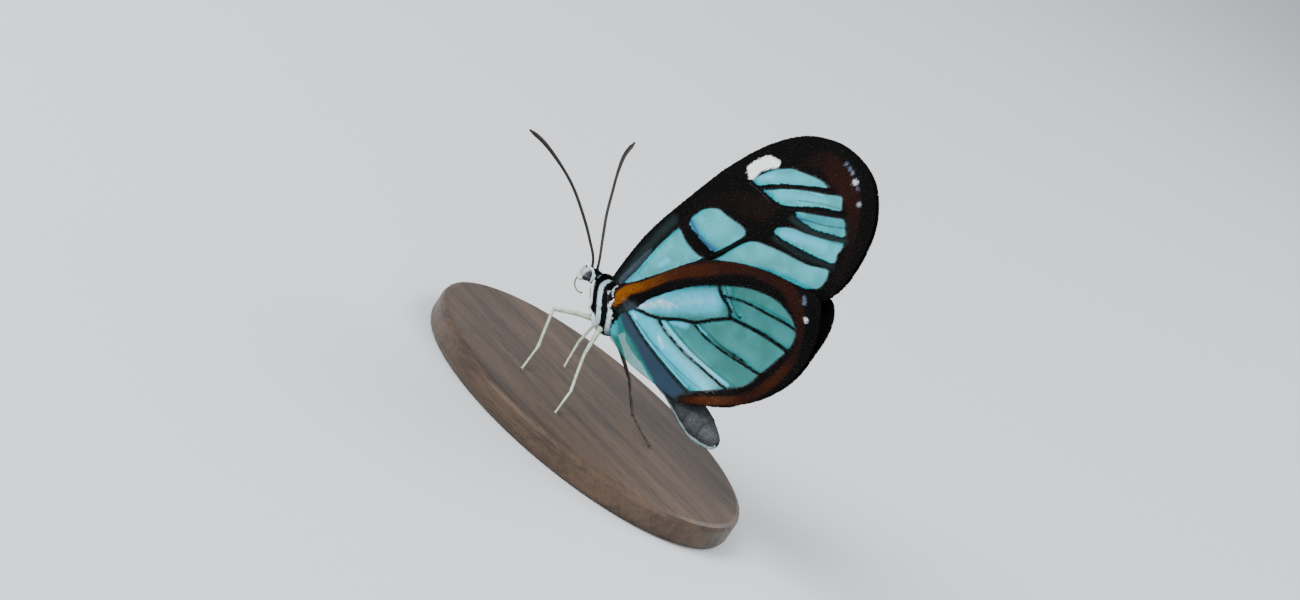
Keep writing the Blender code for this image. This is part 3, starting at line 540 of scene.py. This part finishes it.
def scale_colour(f):
    """The colour of a wing's scales: from near black through maroon and rust to orange by the field warm, then
    slate blue where its field says so, in part painted shade, and white where its field says so, and a little
    lighter or darker from scale to scale. The skin under the scales has no field tone and takes the darkest
    share, a painted shade in the gaps between them; white stays bright."""
    soft, streak = f.noise(1.6), f.noise(0.5, 4.0, 0.65)
    warm = f.field("warm")
    colour = f.node("ShaderNodeValToRGB", {"stops": SCALE_COLOURS},
                    {"Fac": warm * (0.9 + 0.2 * soft) + (streak - 0.5) * 0.1})
    # slate blue on the scales: a band at the forewing's root, and painted shade where the abdomen and the other wing
    # lie behind
    colour = f.mix(colour, (0.018, 0.032, 0.034), f.field("slate") * 0.85)
    haze = f.mix((0.55, 0.7, 1.0), (1.0, 1.0, 1.0), f.ramp(f.field("white"), 0.1, 0.4))
    colour = f.mix(colour, f.mix(haze, (0.8, 0.56, 0.5), f.ramp(warm, 0.3, 0.8)), f.field("white"))
    # each scale lighter or darker at random; the bare skin has no tone and takes the darkest share, a painted shade
    # between the scales
    return f.scaled(colour, (0.66 + 0.34 * f.field("tone")).larger(f.field("white") * 0.96))


def scales_finish(name):
    """The wing's coat of scales."""
    f = Finish(name)
    return f.ends(Base_Color=scale_colour(f), roughness=0.72, specular=0.05, bump=f.noise(0.06, 2.0), bump_depth=0.015)


def membrane_finish(name, tint, shade, veil):
    """The wing's thin skin. It is clear and tinted where the field pane says so, dark beside the veins, and
    coloured as its scales elsewhere. The teal tint of the clear parts is a painted reflection of the sky mixed
    with the green seen through the wing. A pale sheen with white highlights is painted on it, and a blue-violet
    sheen. Slate blue makes a band at the forewing's root and a painted shade where the abdomen and the other wing
    lie behind."""
    f = Finish(name)
    fine, soft, streak = f.noise(0.09, 2.0), f.noise(1.6), f.noise(0.5, 4.0, 0.65)
    slate, gleam, violet, line = (f.field(name) for name in ("slate", "gleam", "violet", "line"))
    # painted reflection: the teal of the clear glass stands for the sky's reflection and the green seen through the
    # wing
    glass = f.mix(tint, shade, f.ramp(soft, 0.38, 0.66))
    # painted sheen: the glass paler and bluer, and white where it is strongest, as painted highlights
    gleam = gleam * (0.55 + 0.9 * streak)
    glass = f.mix(glass, (0.045, 0.52, 0.7), f.ramp(gleam, 0.0, 0.5))
    glass = f.mix(glass, (0.8, 0.96, 1.0), f.ramp(gleam, 0.45, 1.15))
    # painted blue-violet sheen
    glass = f.mix(glass, (0.02, 0.03, 0.15), violet * 0.9)
    # slate blue: a band at the forewing's root, and painted shade where the abdomen and the other wing lie behind the
    # glass
    glass = f.mix(glass, (0.009, 0.027, 0.052), slate)
    glass = f.mix((0.003, 0.012, 0.014), glass, f.ramp(line, -0.03, 0.14))
    pane = f.field("pane") + (fine - 0.5) * 0.1
    clear = f.ramp(pane, -0.05, 0.07)
    shown = f.mix(scale_colour(f), glass, f.ramp(pane, 0.04, 0.16))
    beside = 1.0 - f.ramp(line, -0.03, 0.05)
    solid = (veil * (0.85 + 0.3 * soft) + beside * 0.6 + violet * 0.3 + slate * 0.4 + gleam * 0.12).larger(1.0 - clear)
    return f.ends(Base_Color=shown, roughness=0.3 * clear + 0.6 * (1.0 - clear), Alpha=solid.larger(f.field("white")),
                  bump=fine * (1.0 - clear * 0.7), bump_depth=0.015)


def coat_finish(name, dark, pale):
    """Scales and skin of the body: dark, and pale where the field white says so, mottled and streaked, greyer
    where the field tint grows, and darker where one ring of the abdomen meets the next. The skin has no field
    tone and so is darker than the scales and hairs on it, a painted shade between them."""
    f = Finish(name)
    fine, soft = f.noise(0.12), f.noise(0.7, 2.0)
    white = f.ramp(f.field("white") + (fine - 0.5) * 0.3, 0.38, 0.62)
    grain = f.ramp(fine * 0.6 + soft * 0.4, 0.35, 0.7)
    shade = f.mix(dark, tuple(c * 2.2 + 0.001 for c in dark), grain)
    shade = f.mix(shade, f.mix((0.05, 0.055, 0.06), (0.115, 0.127, 0.138), grain), f.field("tint"))
    shade = f.mix(shade, (0.02, 0.017, 0.016), f.field("seam") * 0.45)
    light = f.mix(pale, tuple(c * 0.78 for c in pale), f.ramp(soft, 0.4, 0.75))
    # the skin has no tone and takes the darkest share, a painted shade between the scales and hairs
    tone = (0.7 + 0.3 * f.field("tone")).larger(white * 0.93)
    return f.ends(Base_Color=f.scaled(f.mix(shade, light, white), tone), roughness=0.75, specular=0.07,
                  bump=fine, bump_depth=0.03)


def horn_finish(name, colour, shade, size, roughness, depth=0.01):
    """Smooth horn such as a leg, feeler or tongue: two tones in soft patches, with a fine grain."""
    f = Finish(name)
    grain, soft = f.noise(size * 0.4, 3.0), f.noise(size * 4, 2.0)
    return f.ends(Base_Color=f.mix(colour, shade, f.ramp(grain * 0.5 + soft * 0.5, 0.36, 0.66)),
                  roughness=roughness + (grain - 0.5) * 0.2, bump=grain, bump_depth=depth)


def eye_finish():
    """A compound eye: dark grey behind, in soft bands, with dark lines between its facets, and pale in front and
    on top, a painted highlight of the sky on the glossy eye.
    """
    f = Finish("eye_facets")
    height = f.node("ShaderNodeSeparateXYZ", {}, {"Vector": f.place()}, output="Z")
    band = f.node("ShaderNodeMath", {"operation": "SINE"}, [height * (math.tau / (0.62 * MM)) + 0.8])
    colour = f.mix((0.02, 0.024, 0.028), (0.09, 0.1, 0.11), f.ramp(band + f.noise(0.4) * 0.8, 0.2, 1.2))
    # painted highlight: the front and top of the eye painted pale
    colour = f.mix(colour, (0.5, 0.55, 0.62), f.field("pale") * 0.92)
    return f.ends(Base_Color=f.scaled(colour, 1.0 - 0.6 * f.field("groove")), roughness=0.22, Coat_Weight=0.4)


def wood_finish():
    """Dark stained wood: long streaks of grain along the stand's length, with fine pores in it."""
    f = Finish("stained_wood")
    rings, fine = f.streaks(2.6, 4.0, 0.6, 0.09), f.streaks(0.32, 5.0, 0.7, 0.05)
    pores = f.ramp(f.streaks(0.14, 2.0, 0.6, 0.12), 0.6, 0.72)
    colour = f.mix((0.03, 0.019, 0.013), (0.085, 0.052, 0.033), f.ramp(rings * 0.6 + fine * 0.4, 0.36, 0.64))
    colour = f.mix(colour, (0.012, 0.008, 0.006), pores * 0.8)
    return f.ends(Base_Color=colour, roughness=0.34 + fine * 0.16, bump=fine * 0.6 - pores * 0.6, bump_depth=0.03)


# The animal

def rings_back(x):
    """How many of its rings a place of the abdomen is behind the waist."""
    return (x - ABDOMEN_FRONT) / (ABDOMEN_TIP - ABDOMEN_FRONT) * ABDOMEN_SEGMENTS


def body_skin(u, v):
    """The body's skin at u along it, 0 to 1, and the turn v round it. A point is the station's middle plus its
    half width times cos v and its half depth times sin v. Behind the waist each ring swells towards its rear
    edge by the square of its own length, and steps back to the next."""
    path = along(BODY, 0.12)
    run = distances(path[:, :2])
    x, z, depth, width = (np.interp(u * run[-1], run, column) for column in path.T)
    part = rings_back(x)
    ring = np.where((part > 0) & (part < ABDOMEN_SEGMENTS), part % 1.0, 0.5)
    swell = 1.0 + np.where(part > 0, 0.05 * (ring ** 2 - 0.75 * eased((ring - 0.9) / 0.1)), 0.0)
    back = np.exp(-((x - 0.4) / 1.5) ** 2) * np.maximum(0.0, np.sin(v)) ** 8
    swell = swell * (1.0 - 0.05 * back * np.exp(-(np.cos(v) / 0.08) ** 2))
    return np.stack([x, width * swell * np.cos(v), z + depth * swell * np.sin(v)], axis=-1)


def markings(points):
    """How white each place of the body is: 1 on a stripe and less to 0 past its edge, on the underside of the
    abdomen, and on the face below the feelers. Then how grey, from the waist back, and the dark seams where
    the abdomen's rings meet."""
    x, y, z = points.T
    white = np.zeros(len(points))
    side = eased((np.abs(y) - 0.3) / 0.15)
    for half, line in STRIPES:
        away, _ = nearest(points[:, [0, 2]], along(line, 0.2))
        white = np.maximum(white, side * eased((half + 0.06 - away) / 0.12))
    path = np.array(BODY)
    middle, depth = (np.interp(x, path[:, 0], path[:, i]) for i in (1, 2))
    under = np.where(x > 2.6, eased(((middle - z) / depth - 0.6) / 0.12), 0.0)
    face = np.where(x < -3.22, eased((np.abs(y) - 0.1) / 0.1) * eased((0.95 - z) / 0.2), 0.0)
    ring = rings_back(x)
    seam = np.where(ring > 0.5, np.exp(-((ring - np.round(ring)) / 0.07) ** 2), 0.0)
    return {"white": np.maximum(white, np.maximum(under, face)), "tint": eased((x - 4.0) / 6.0), "seam": seam}


def body(finishes):
    """The body's skin and its coat: a scale or hair in each cell of a grid, and fewer where cells are small or
    an eye lies over them. Hair is longest on the thorax and crown."""
    u, v = grid(np.linspace(0.0, 1.0, SKIN_GRID[0]), circle(SKIN_GRID[1]))
    rings = body_skin(u, -v)
    skin = lofted(rings, **markings(rings.reshape(-1, 3)))
    piece("body_skin", skin, finishes["body"], "thorax_scales", ("head", "thorax", "abdomen"))
    rng = np.random.default_rng(SEED)
    cell = np.stack(grid(*(np.arange(count) for count in COAT_CELLS)), -1).reshape(-1, 2)
    at = (cell + rng.random(cell.shape)) / COAT_CELLS
    at[:, 0] = 0.004 + 0.99 * at[:, 0]
    u, v, tiny = at[:, 0], at[:, 1] * math.tau, 1e-3
    roots = body_skin(u, v)
    ahead, aside = body_skin(u + tiny, v) - roots, body_skin(u, v + tiny) - roots
    area = np.linalg.norm(np.cross(ahead, aside), axis=1)
    face = roots[:, 0] < -2.3
    eye = np.minimum(*(np.linalg.norm((roots - EYE_CENTRE * (1, way, 1)) / EYE_RADII, axis=1) for way in (1, -1)))
    kept = (rng.random(len(at)) < area / np.quantile(area, 0.97) * np.where(face, 2.4, 1.0)) & (eye > 1.02)
    roots, ahead, aside, at = (values[kept] for values in (roots, ahead, aside, at))
    x = roots[:, 0]
    thorax = eased((x + 2.3) / 0.4) * eased((2.3 - x) / 0.5)
    head = eased((-2.2 - x) / 0.2)
    crown = head * eased((roots[:, 2] - 0.75) / 0.2)
    lengths = 0.2 + 0.16 * thorax * rng.random(len(x)) + 0.08 * rng.random(len(x)) - 0.08 * head + 0.16 * crown
    lengths *= 1.0 + 0.5 * np.exp(-((x - 1.9) / 0.5) ** 2)
    widths = 0.1 - 0.03 * thorax - 0.045 * head
    lies = unit(ahead) + rng.normal(0.0, 0.16, roots.shape) - np.array([0, 0, 0.25]) * thorax[:, None]
    lifts = 0.1 + 0.22 * thorax + 0.3 * crown
    normals = unit(np.cross(aside, ahead))
    coat = blades(roots + normals * 0.004, normals + unit(ahead) * -lifts[:, None], lies, lengths, widths,
                  COAT_ROWS, tone=rng.random(len(x)), **markings(roots))
    piece("body_coat", coat, finishes["body"], "thorax_scales", spots=0.02 + 0.95 * at)


def eyes(finishes):
    """Each eye is an egg of many small domes: every place is raised by how near the closest centre of an even
    spiral of centres it is."""
    def ball(polar, turn):
        return np.stack([np.sin(polar) * np.cos(turn), np.sin(polar) * np.sin(turn), np.cos(polar)], -1)

    k = np.arange(EYE_FACETS) + 0.5
    centres = ball(np.arccos(1 - 2 * k / EYE_FACETS), math.pi * (1 + 5 ** 0.5) * k)
    places = ball(*grid(np.linspace(0.01, math.pi - 0.01, EYE_GRID[0]), circle(EYE_GRID[1])))
    nearness = np.concatenate([(part @ centres.T).max(1) for part in np.array_split(places.reshape(-1, 3), 12)])
    away = np.sqrt(np.maximum(0.0, 2 - 2 * nearness)).reshape(EYE_GRID)
    size = math.sqrt(4 * math.pi / EYE_FACETS / math.pi)
    # the pale field marks the front and top of each eye, where a highlight is painted
    fields = {"groove": eased((away / size - 0.62) / 0.45),
              "pale": eased((0.36 - places[..., 0] + 0.2 * places[..., 2]) / 0.5)}
    for side, sign in SIDES:
        rings = (EYE_CENTRE + places * EYE_RADII * (1.0 - 0.02 * fields["groove"][..., None])) * (1, -sign, 1)
        egg = lofted(faced(rings, sign), **{name: faced(field, sign) for name, field in fields.items()})
        piece("eye_facets_" + side, egg, finishes["eye"], "eye", ("eye_" + side,))


def feelers(finishes):
    """Feelers of many short rings that swell at their far edges and thicken into a slim club."""
    for side, sign in SIDES:
        line = spread(along(on_side(ANTENNA + ANTENNA_TIPS[side], sign), 0.2), FEELER_POINTS)
        t = shares(line)
        size = 0.12 + 0.02 * eased(t / 0.3) + 0.06 * eased((t - 0.62) / 0.3) - 0.09 * eased((t - 0.95) / 0.05)
        root = 0.1 * np.exp(-(t / 0.012) ** 2)
        size = size * (0.93 + 0.1 * ((t * FEELER_RINGS) % 1.0) ** 2) + root
        piece("feeler_" + side, tube(line, size, 14), finishes["feeler"], "antenna", ("antenna_" + side,))


def hairs(line, sizes, hair, rng, start=0.05, span=0.9, **fields):
    """Hairs set evenly round a tube, each leaning along it, and their spots, in a strip of the map. Hair is their
    count, length, width and lean, and each field is a function of how far along the line a place is."""
    count, length, width, lean = hair
    t = (np.arange(count) + rng.random(count)) / count
    turn = rng.random(count) * math.tau
    place = t * (len(line) - 1)
    centre = np.stack([np.interp(place, np.arange(len(line)), column) for column in line.T], 1)
    course = unit(np.gradient(line, axis=0))[np.round(place).astype(int)]
    size = np.interp(place, np.arange(len(line)), sizes)
    spare = np.where(np.abs(course[:, :1]) < 0.7, np.array([[1.0, 0, 0]]), np.array([[0, 0, 1.0]]))
    across = unit(np.cross(course, spare))
    over = np.cross(course, across)
    normals = across * np.cos(turn)[:, None] + over * np.sin(turn)[:, None]
    lengths = length * (0.7 + 0.6 * rng.random(count))
    coat = blades(centre + normals * size[:, None], normals, course + normals * (1 - lean), lengths,
                  np.full(count, width), HAIR_ROWS, tone=rng.random(count),
                  **{name: field(t) for name, field in fields.items()})
    return coat, np.stack([start + span * t, 0.05 + 0.9 * turn / math.tau], 1)


def clothed(name, line, size, hair, finish, slot, replaces, rng, **fields):
    """A tube with its own coat of short hairs."""
    skin = tube(line, size, 18)
    skin.fields.update({label: field(skin.fields["part"]) for label, field in fields.items()})
    coat, spots = hairs(line, size - 0.01, hair, rng, **fields)
    piece(name.format("skin"), skin, finish, slot, replaces)
    piece(name.format("hair"), coat, finish, slot, spots=spots)


def tufts(finishes):
    """Parts clothed in white hair: palps, dark at their tips, the rim behind each eye, and the hips."""
    rng = np.random.default_rng(SEED + 1)
    for side, sign in SIDES:
        for kind, points, radii, hair, slot, replaces, white in (
                ("palp", PALP, (0.17, 0.2, 0.2, 0.17, 0.08), (1100, 0.16, 0.05, 0.6), "palp_scales",
                 ("palp_" + side,), lambda part: 1.0 - eased((part - 0.93) / 0.05)),
                ("eye_rim", EYE_RIM, (0.05, 0.085, 0.085, 0.05), (900, 0.11, 0.04, 0.7), "palp_scales", (),
                 np.ones_like),
                ("hip", COXA, (0.2, 0.34, 0.32, 0.14), (1300, 0.2, 0.05, 0.75), "thorax_scales", (), np.ones_like)):
            clothed(kind + "_{}_" + side, *limb(on_side(points, sign), radii, 0.05), hair, finishes["palp"], slot,
                    replaces, rng, white=white)


def tongue(finishes):
    """The tongue, ringed by fine grooves, in a loose coil below the face."""
    line = along(PROBOSCIS, 0.04)
    t = shares(line)
    size = 0.085 - 0.03 * t + 0.035 * np.exp(-((t - 1.0) / 0.03) ** 2)
    size = size * (1 + 0.05 * np.sin(np.arange(len(line)) * 1.4))
    piece("tongue", tube(line, size, 14), finishes["tongue"], "proboscis", ("proboscis",))


def limb(points, sizes, step=0.12):
    """A smooth line through its points, and at each place of it a radius that goes evenly from one of the given
    sizes to the next."""
    line = along(points, step)
    return line, np.interp(shares(line), shares(sizes), sizes)


def legs(finishes):
    """Four walking legs and two small folded forelegs. A foot is five beads on a line with two claws."""
    rng = np.random.default_rng(SEED + 2)
    sag = np.array([0.0, 0.0, 0.12])
    for name, places in LEGS.items():
        hip, knee, ankle, claw = np.array(places)
        thigh = limb([hip, (hip + knee) / 2 + sag * 0.6, knee], [0.3, 0.2, 0.17, 0.13])
        shin = limb([knee, (knee + ankle) / 2 - sag * 0.5, ankle], [0.13, 0.12, 0.115, 0.13])
        line, size = limb([ankle, (ankle + claw) / 2 - sag * 0.4, claw], [0.11, 0.1, 0.085], 0.05)
        foot = line, size * (0.82 + 0.28 * ((shares(line) * 5) % 1.0) ** 2)
        parts = [tube(*part) for part in (thigh, shin, foot)]
        ahead = unit(claw - ankle)
        aside = unit(np.cross(ahead, [0, 0, 1.0]))
        for way in (-1, 1):
            hook = along([claw, claw + ahead * 0.16 + aside * 0.08 * way + (0, 0, 0.06),
                          claw + ahead * 0.26 + aside * 0.12 * way - (0, 0, 0.02)], 0.04)
            hook[:, 2] = np.maximum(hook[:, 2], CLAW_FLOOR)
            parts.append(tube(hook, np.linspace(0.035, 0.012, len(hook)), 8))
        kind = "leg_dark" if name == "hindleg_right" else "leg"
        piece(name + "_skin", joined(parts), finishes[kind], kind,
              [name + end for end in ("_femur", "_tibia", "_tarsus")])
        coats, spots = zip(*(hairs(*part, hair, rng, 0.05 + 0.3 * i, 0.28)
                             for i, (part, hair) in enumerate(zip((thigh, shin, foot), LEG_HAIR))))
        piece(name + "_hair", joined(coats), finishes[kind], kind, spots=np.vstack(spots))
    for side, sign in SIDES:
        clothed("foreleg_{}_" + side, *limb(on_side(FORELEG, sign), [0.12, 0.12, 0.115, 0.105, 0.09, 0.065], 0.08),
                (700, 0.12, 0.045, 0.7), finishes["foreleg"], "leg", ("foreleg_" + side,), rng)


# Wings

def fore_side(x, z):
    """How far out the solid forewing's inner face lies: its rest, and more at the root by a falling exponent."""
    return WING_REST + ROOT_SPREAD * np.exp(-np.hypot(x, z) / ROOT_EASE)


def hind_side(x, z):
    """The same for the hindwing: lifted over the forewing, and wrapped round the abdomen below."""
    line = along(pairs(FOREWING["inner"]), 1.0)
    line = line[line[:, 0].argsort()]
    below = (np.interp(x, line[:, 0], line[:, 1]) - z) * math.cos(math.radians(INNER_SLOPE))
    lift = HINDWING_LIFT * eased(1.0 - below / LIFT_EASE)
    back, middle, depth, width = ABDOMEN.T
    width = np.interp(x, back, width + 0.07)
    top = np.interp(x, back, middle + depth + 0.07)
    wrap = (width + WRAP_GAP - WING_REST) * eased(1.0 - (z - top - WRAP_CLEAR) / WRAP_EASE)
    return fore_side(x, z) + (lift ** 4 + np.maximum(0.0, wrap) ** 4) ** 0.25


def fore_out(x, z, rim):
    """Where the thin forewing lies: near the solid's inner face at the rim, and bellied out further in."""
    return fore_side(x, z) + 0.05 + 0.22 * eased(rim / 5.0)


def hind_out(x, z, rim):
    return hind_side(x, z) + 0.06 + 0.1 * eased(rim / 4.0) + 0.32 * np.exp(-(np.hypot(x, z) / 2.6) ** 2)


class Wing:
    """A wing's outline, its marks and how far out it lies."""

    def __init__(self, kind, out, middle, edge, inner, panes, veins, warm, dots, patch, strokes):
        self.kind, self.out, self.middle, self.dots = kind, out, np.array(middle), dots
        self.loop = np.vstack([along(pairs(side), LINE_STEP)[:-1] for side in (edge, inner)])
        self.panes = [loop_along(pairs(pane), LINE_STEP) for pane in panes]
        self.veins = [(start, end, along(pairs(line), LINE_STEP)) for start, end, *line in veins]
        self.warm = along(warm, 0.4)
        self.patch = *patch[:2], loop_along(pairs(patch[2]), 0.2)
        self.strokes = [(field, half, strength, along(pairs(line), LINE_STEP))
                        for field, rows in strokes.items() for half, strength, *line in rows]

    def fields(self, flat):
        """The fields of each place, seen from the side. A stroke's strength falls off to nothing at its half
        width, and the patch's over its soft edge."""
        pane = np.max([depth_in(flat, loop) for loop in self.panes], axis=0)
        line = np.full(len(flat), np.inf)
        for start, end, vein in self.veins:
            away, place = nearest(flat, vein)
            line = np.minimum(line, away - (start + (end - start) * place))
        away, place = nearest(flat, self.warm[:, :2])
        run = distances(self.warm[:, :2])
        half, strength = (np.interp(place, run / run[-1], column) for column in self.warm.T[2:])
        fields = {name: np.zeros(len(flat)) for name in ("white", "violet", "slate", "gleam")}
        fields |= {"pane": pane, "line": line, "warm": strength * (1.0 - eased((away / half - 0.62) / 0.62))}
        for x, z, radius, amount in self.dots:
            spot = amount * eased(1.5 - np.hypot(*(flat - (x, z)).T) / radius)
            fields["white"] = np.maximum(fields["white"], spot)
        for name, half, strength, course in self.strokes:
            away = nearest(flat, course)[0] / half
            fade = eased((away - 0.6) / 0.5 if name == "white" else away)
            fields[name] = np.maximum(fields[name], strength * (1.0 - fade))
        name, soft, loop = self.patch
        fields[name] = np.maximum(fields[name], eased(depth_in(flat, loop) / soft + 0.5))
        if self.kind == "hindwing":
            black = (1.0 - eased((flat[:, 0] - 0.42 * (1.7 - flat[:, 1]) - 0.45) / 0.15)) * eased(1.9 - flat[:, 1])
            fields["warm"] = fields["warm"] * (1.0 - black)
            fields["slate"] = fields["slate"] * (1.0 - eased(fields["warm"] / 0.3))
        return fields

    def place(self, flat, sign):
        """Points seen from the side, set at the wing's own distance out."""
        rim = np.maximum(0.0, depth_in(flat, self.loop))
        return np.stack([flat[:, 0], sign * self.out(*flat.T, rim), flat[:, 1]], 1)

    def ridge(self, fields):
        """How far a vein stands out: a bell of its own width, lower under the scales of the borders."""
        bell = np.exp(-(np.maximum(0.0, fields["line"] + 0.1) / 0.09) ** 2)
        return 0.075 * bell * (0.3 + 0.7 * eased((fields["pane"] + 0.3) / 0.3))

    def membrane(self, sign):
        """Places on lines from the wing's middle to its outline, on an outer and an inner sheet that meet at
        the rim. The sheets stand 0.024 apart in a pane, and swell beside a vein by a bell of its own width."""
        rings, around = MEMBRANE_GRID
        outline = spread(np.vstack([self.loop, self.loop[:1]]), around + 1)[:-1]
        t = np.linspace(1.0, 0.0, rings)[:-1] ** 0.85
        flat = (self.middle + t[:, None, None] * (outline - self.middle)).reshape(-1, 2)
        fields = self.fields(flat)
        rim = np.maximum(0.0, depth_in(flat, self.loop))
        half = 0.012 + 0.02 * eased(-fields["pane"] / 0.2) * eased(rim / 0.2)
        half += self.ridge(fields) * eased(rim / 0.3)
        half[:around] = 0.0
        far = self.place(flat, sign)
        offset = np.stack([0 * half, sign * half, 0 * half], 1)

        def sheets(outer, inner):
            outer, inner = (values.reshape(rings - 1, around, *values.shape[1:]) for values in (outer, inner))
            return faced(np.concatenate([outer[::-1], inner[1:]]), sign)

        return lofted(sheets(far + offset, far - offset), **{name: sheets(v, v) for name, v in fields.items()})

    def scales(self, sign, rng):
        """Scales in staggered rows over the parts that aren't clear, on both faces, lying away from the root
        and no further past the rim than a short fringe."""
        low, high = self.loop.min(0), self.loop.max(0)
        step = SCALE_SPACING
        x, z = grid(np.arange(low[0], high[0], step), np.arange(low[1], high[1], step * 0.8))
        x = x + 0.5 * step * (np.arange(x.shape[1]) % 2)
        flat = np.stack([x.ravel(), z.ravel()], 1) + rng.normal(0.0, 0.02, (x.size, 2))
        rim = depth_in(flat, self.loop)
        flat, rim = flat[rim > 0.03], rim[rim > 0.03]
        fields = self.fields(flat)
        kept = (fields["pane"] < 0.02) | (fields["white"] > 0.4) | (fields["line"] < -0.02)
        flat, rim = flat[kept], rim[kept]
        swell = (0.034 + self.ridge(fields)[kept]) * eased(rim / 0.3 + 0.3)
        fields = {name: fields[name][kept] for name in ("warm", "slate", "white")}
        nudge = 0.05
        slopes = [(self.place(flat + shift, sign) - self.place(flat - shift, sign)) / (2 * nudge)
                  for shift in nudge * np.eye(2)]
        upright = unit(np.cross(*slopes))
        upright *= np.sign(upright[:, 1:2]) * sign
        spot = (flat - low) / (high - low) * (0.47, 0.97) + 0.01
        shapes, spots, count = [], [], len(flat)
        for face in (1.0, -1.0):
            roots = self.place(flat, sign)
            roots[:, 1] += sign * face * swell
            away = unit(flat - (-0.5, -1.0)) + rng.normal(0.0, 0.1, flat.shape)
            lies = np.stack([away[:, 0], np.zeros(count), away[:, 1]], 1)
            lengths = np.minimum(step * (1.5 + 0.4 * rng.random(count)), rim + 0.09)
            widths = step * (0.85 + 0.25 * rng.random(count))
            shapes.append(blades(roots, upright * face, lies, lengths, widths, WING_SCALE_ROWS,
                                 tone=rng.random(count), **fields))
            spots.append(spot + (0.25 - 0.25 * face, 0.0))
        return joined(shapes), np.vstack(spots)


def wings(finishes):
    for wing in (Wing("forewing", fore_out, **FOREWING), Wing("hindwing", hind_out, **HINDWING)):
        for side, sign in SIDES:
            name = f"{wing.kind}_{side}"
            piece(name + "_membrane", wing.membrane(sign), finishes[wing.kind], "wing_membrane", (name,))
            coat, spots = wing.scales(sign, np.random.default_rng(SEED + 3))
            piece(name + "_scales", coat, finishes["scales"], "wing_scales", spots=spots)


# The studio

def studio():
    """A wide pale floor under a soft sky, with three soft lights: a strong one ahead, a weak one to fill its
    shadows and one from behind."""
    half = FLOOR_HALF
    floor = bpy.data.meshes.new("studio_floor")
    floor.from_pydata([(-half, -half, 0), (half, -half, 0), (half, half, 0), (-half, half, 0)], [], [(0, 1, 2, 3)])
    floor.materials.append(Finish("studio_floor").ends(Base_Color=(0.62, 0.64, 0.65), roughness=0.9))
    shown("studio_floor", floor)
    world = bpy.data.worlds.new("soft_sky")
    world.use_nodes = True
    sky = world.node_tree.nodes["Background"]
    sky.inputs["Color"].default_value = (0.86, 0.93, 1.0, 1.0)
    sky.inputs["Strength"].default_value = 0.75
    bpy.context.scene.world = world
    for name, place, size, power in LIGHTS:
        light = bpy.data.lights.new(name, "AREA")
        light.size, light.energy = size, power
        shown(name, light).matrix_world = aimed(np.array(place), LIT_PLACE)


def aimed(place, target):
    """The matrix of a light at a place that shines on a target: its Z axis points away from the target."""
    turned = Vector(place - target).to_track_quat("Z", "Y").to_matrix().to_4x4()
    return Matrix.Translation(place) @ turned


def camera():
    """The camera looks along the direction that its turn and height give, rolled about it, from its distance,
    with the wing roots a little to the left of the picture's middle."""
    turn, height, roll = (math.radians(a) for a in (AZIMUTH, ELEVATION, ROLL))
    back = np.array([math.sin(turn) * math.cos(height), -math.cos(turn) * math.cos(height), math.sin(height)])
    level = np.array([math.cos(turn), math.sin(turn), 0.0])
    upright = np.cross(back, level)
    right = level * math.cos(roll) + upright * math.sin(roll)
    up = upright * math.cos(roll) - level * math.sin(roll)
    place = (ROOT + back * DISTANCE + right * SIDESTEP) * MM
    view = bpy.data.cameras.new("view")
    view.lens, view.sensor_width = LENS, 36.0
    view.clip_start, view.clip_end = 0.01, 20.0
    eye = shown("view", view)
    eye.matrix_world = Matrix([[*row, at] for row, at in zip(np.stack([right, up, back], 1), place)] + [[0, 0, 0, 1]])
    bpy.context.scene.camera = eye


def main():
    camera()
    studio()
    finishes = {
        "body": coat_finish("body_scales", (0.0028, 0.0032, 0.0052), (0.74, 0.93, 1.0)),
        "palp": coat_finish("palp_scales_fine", (0.012, 0.011, 0.012), (0.92, 0.98, 0.98)),
        "eye": eye_finish(),
        "feeler": horn_finish("feeler_horn", (0.004, 0.0035, 0.003), (0.018, 0.011, 0.007), 0.12, 0.5),
        "tongue": horn_finish("tongue_horn", (0.1, 0.09, 0.03), (0.2, 0.2, 0.07), 0.1, 0.3),
        "leg": horn_finish("leg_scales", (0.62, 0.7, 0.58), (0.36, 0.43, 0.3), 0.14, 0.55, 0.012),
        "foreleg": horn_finish("foreleg_scales", (0.72, 0.84, 0.76), (0.5, 0.62, 0.52), 0.14, 0.6, 0.012),
        "leg_dark": horn_finish("leg_scales_dark", (0.02, 0.016, 0.012), (0.08, 0.065, 0.045), 0.14, 0.5, 0.012),
        # the teal glass colours are painted: a reflection of the sky and the green seen through the wing
        "forewing": membrane_finish("forewing_skin", (0.012, 0.47, 0.53), (0.01, 0.33, 0.37), 0.5),
        "hindwing": membrane_finish("hindwing_skin", (0.005, 0.225, 0.23), (0.003, 0.15, 0.135), 0.58),
        "scales": scales_finish("wing_scales_fine"),
    }
    body(finishes)
    eyes(finishes)
    feelers(finishes)
    tufts(finishes)
    tongue(finishes)
    legs(finishes)
    wings(finishes)
    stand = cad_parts["stand_base"]
    stand.data.materials.clear()
    stand.data.materials.append(wood_finish())


main()
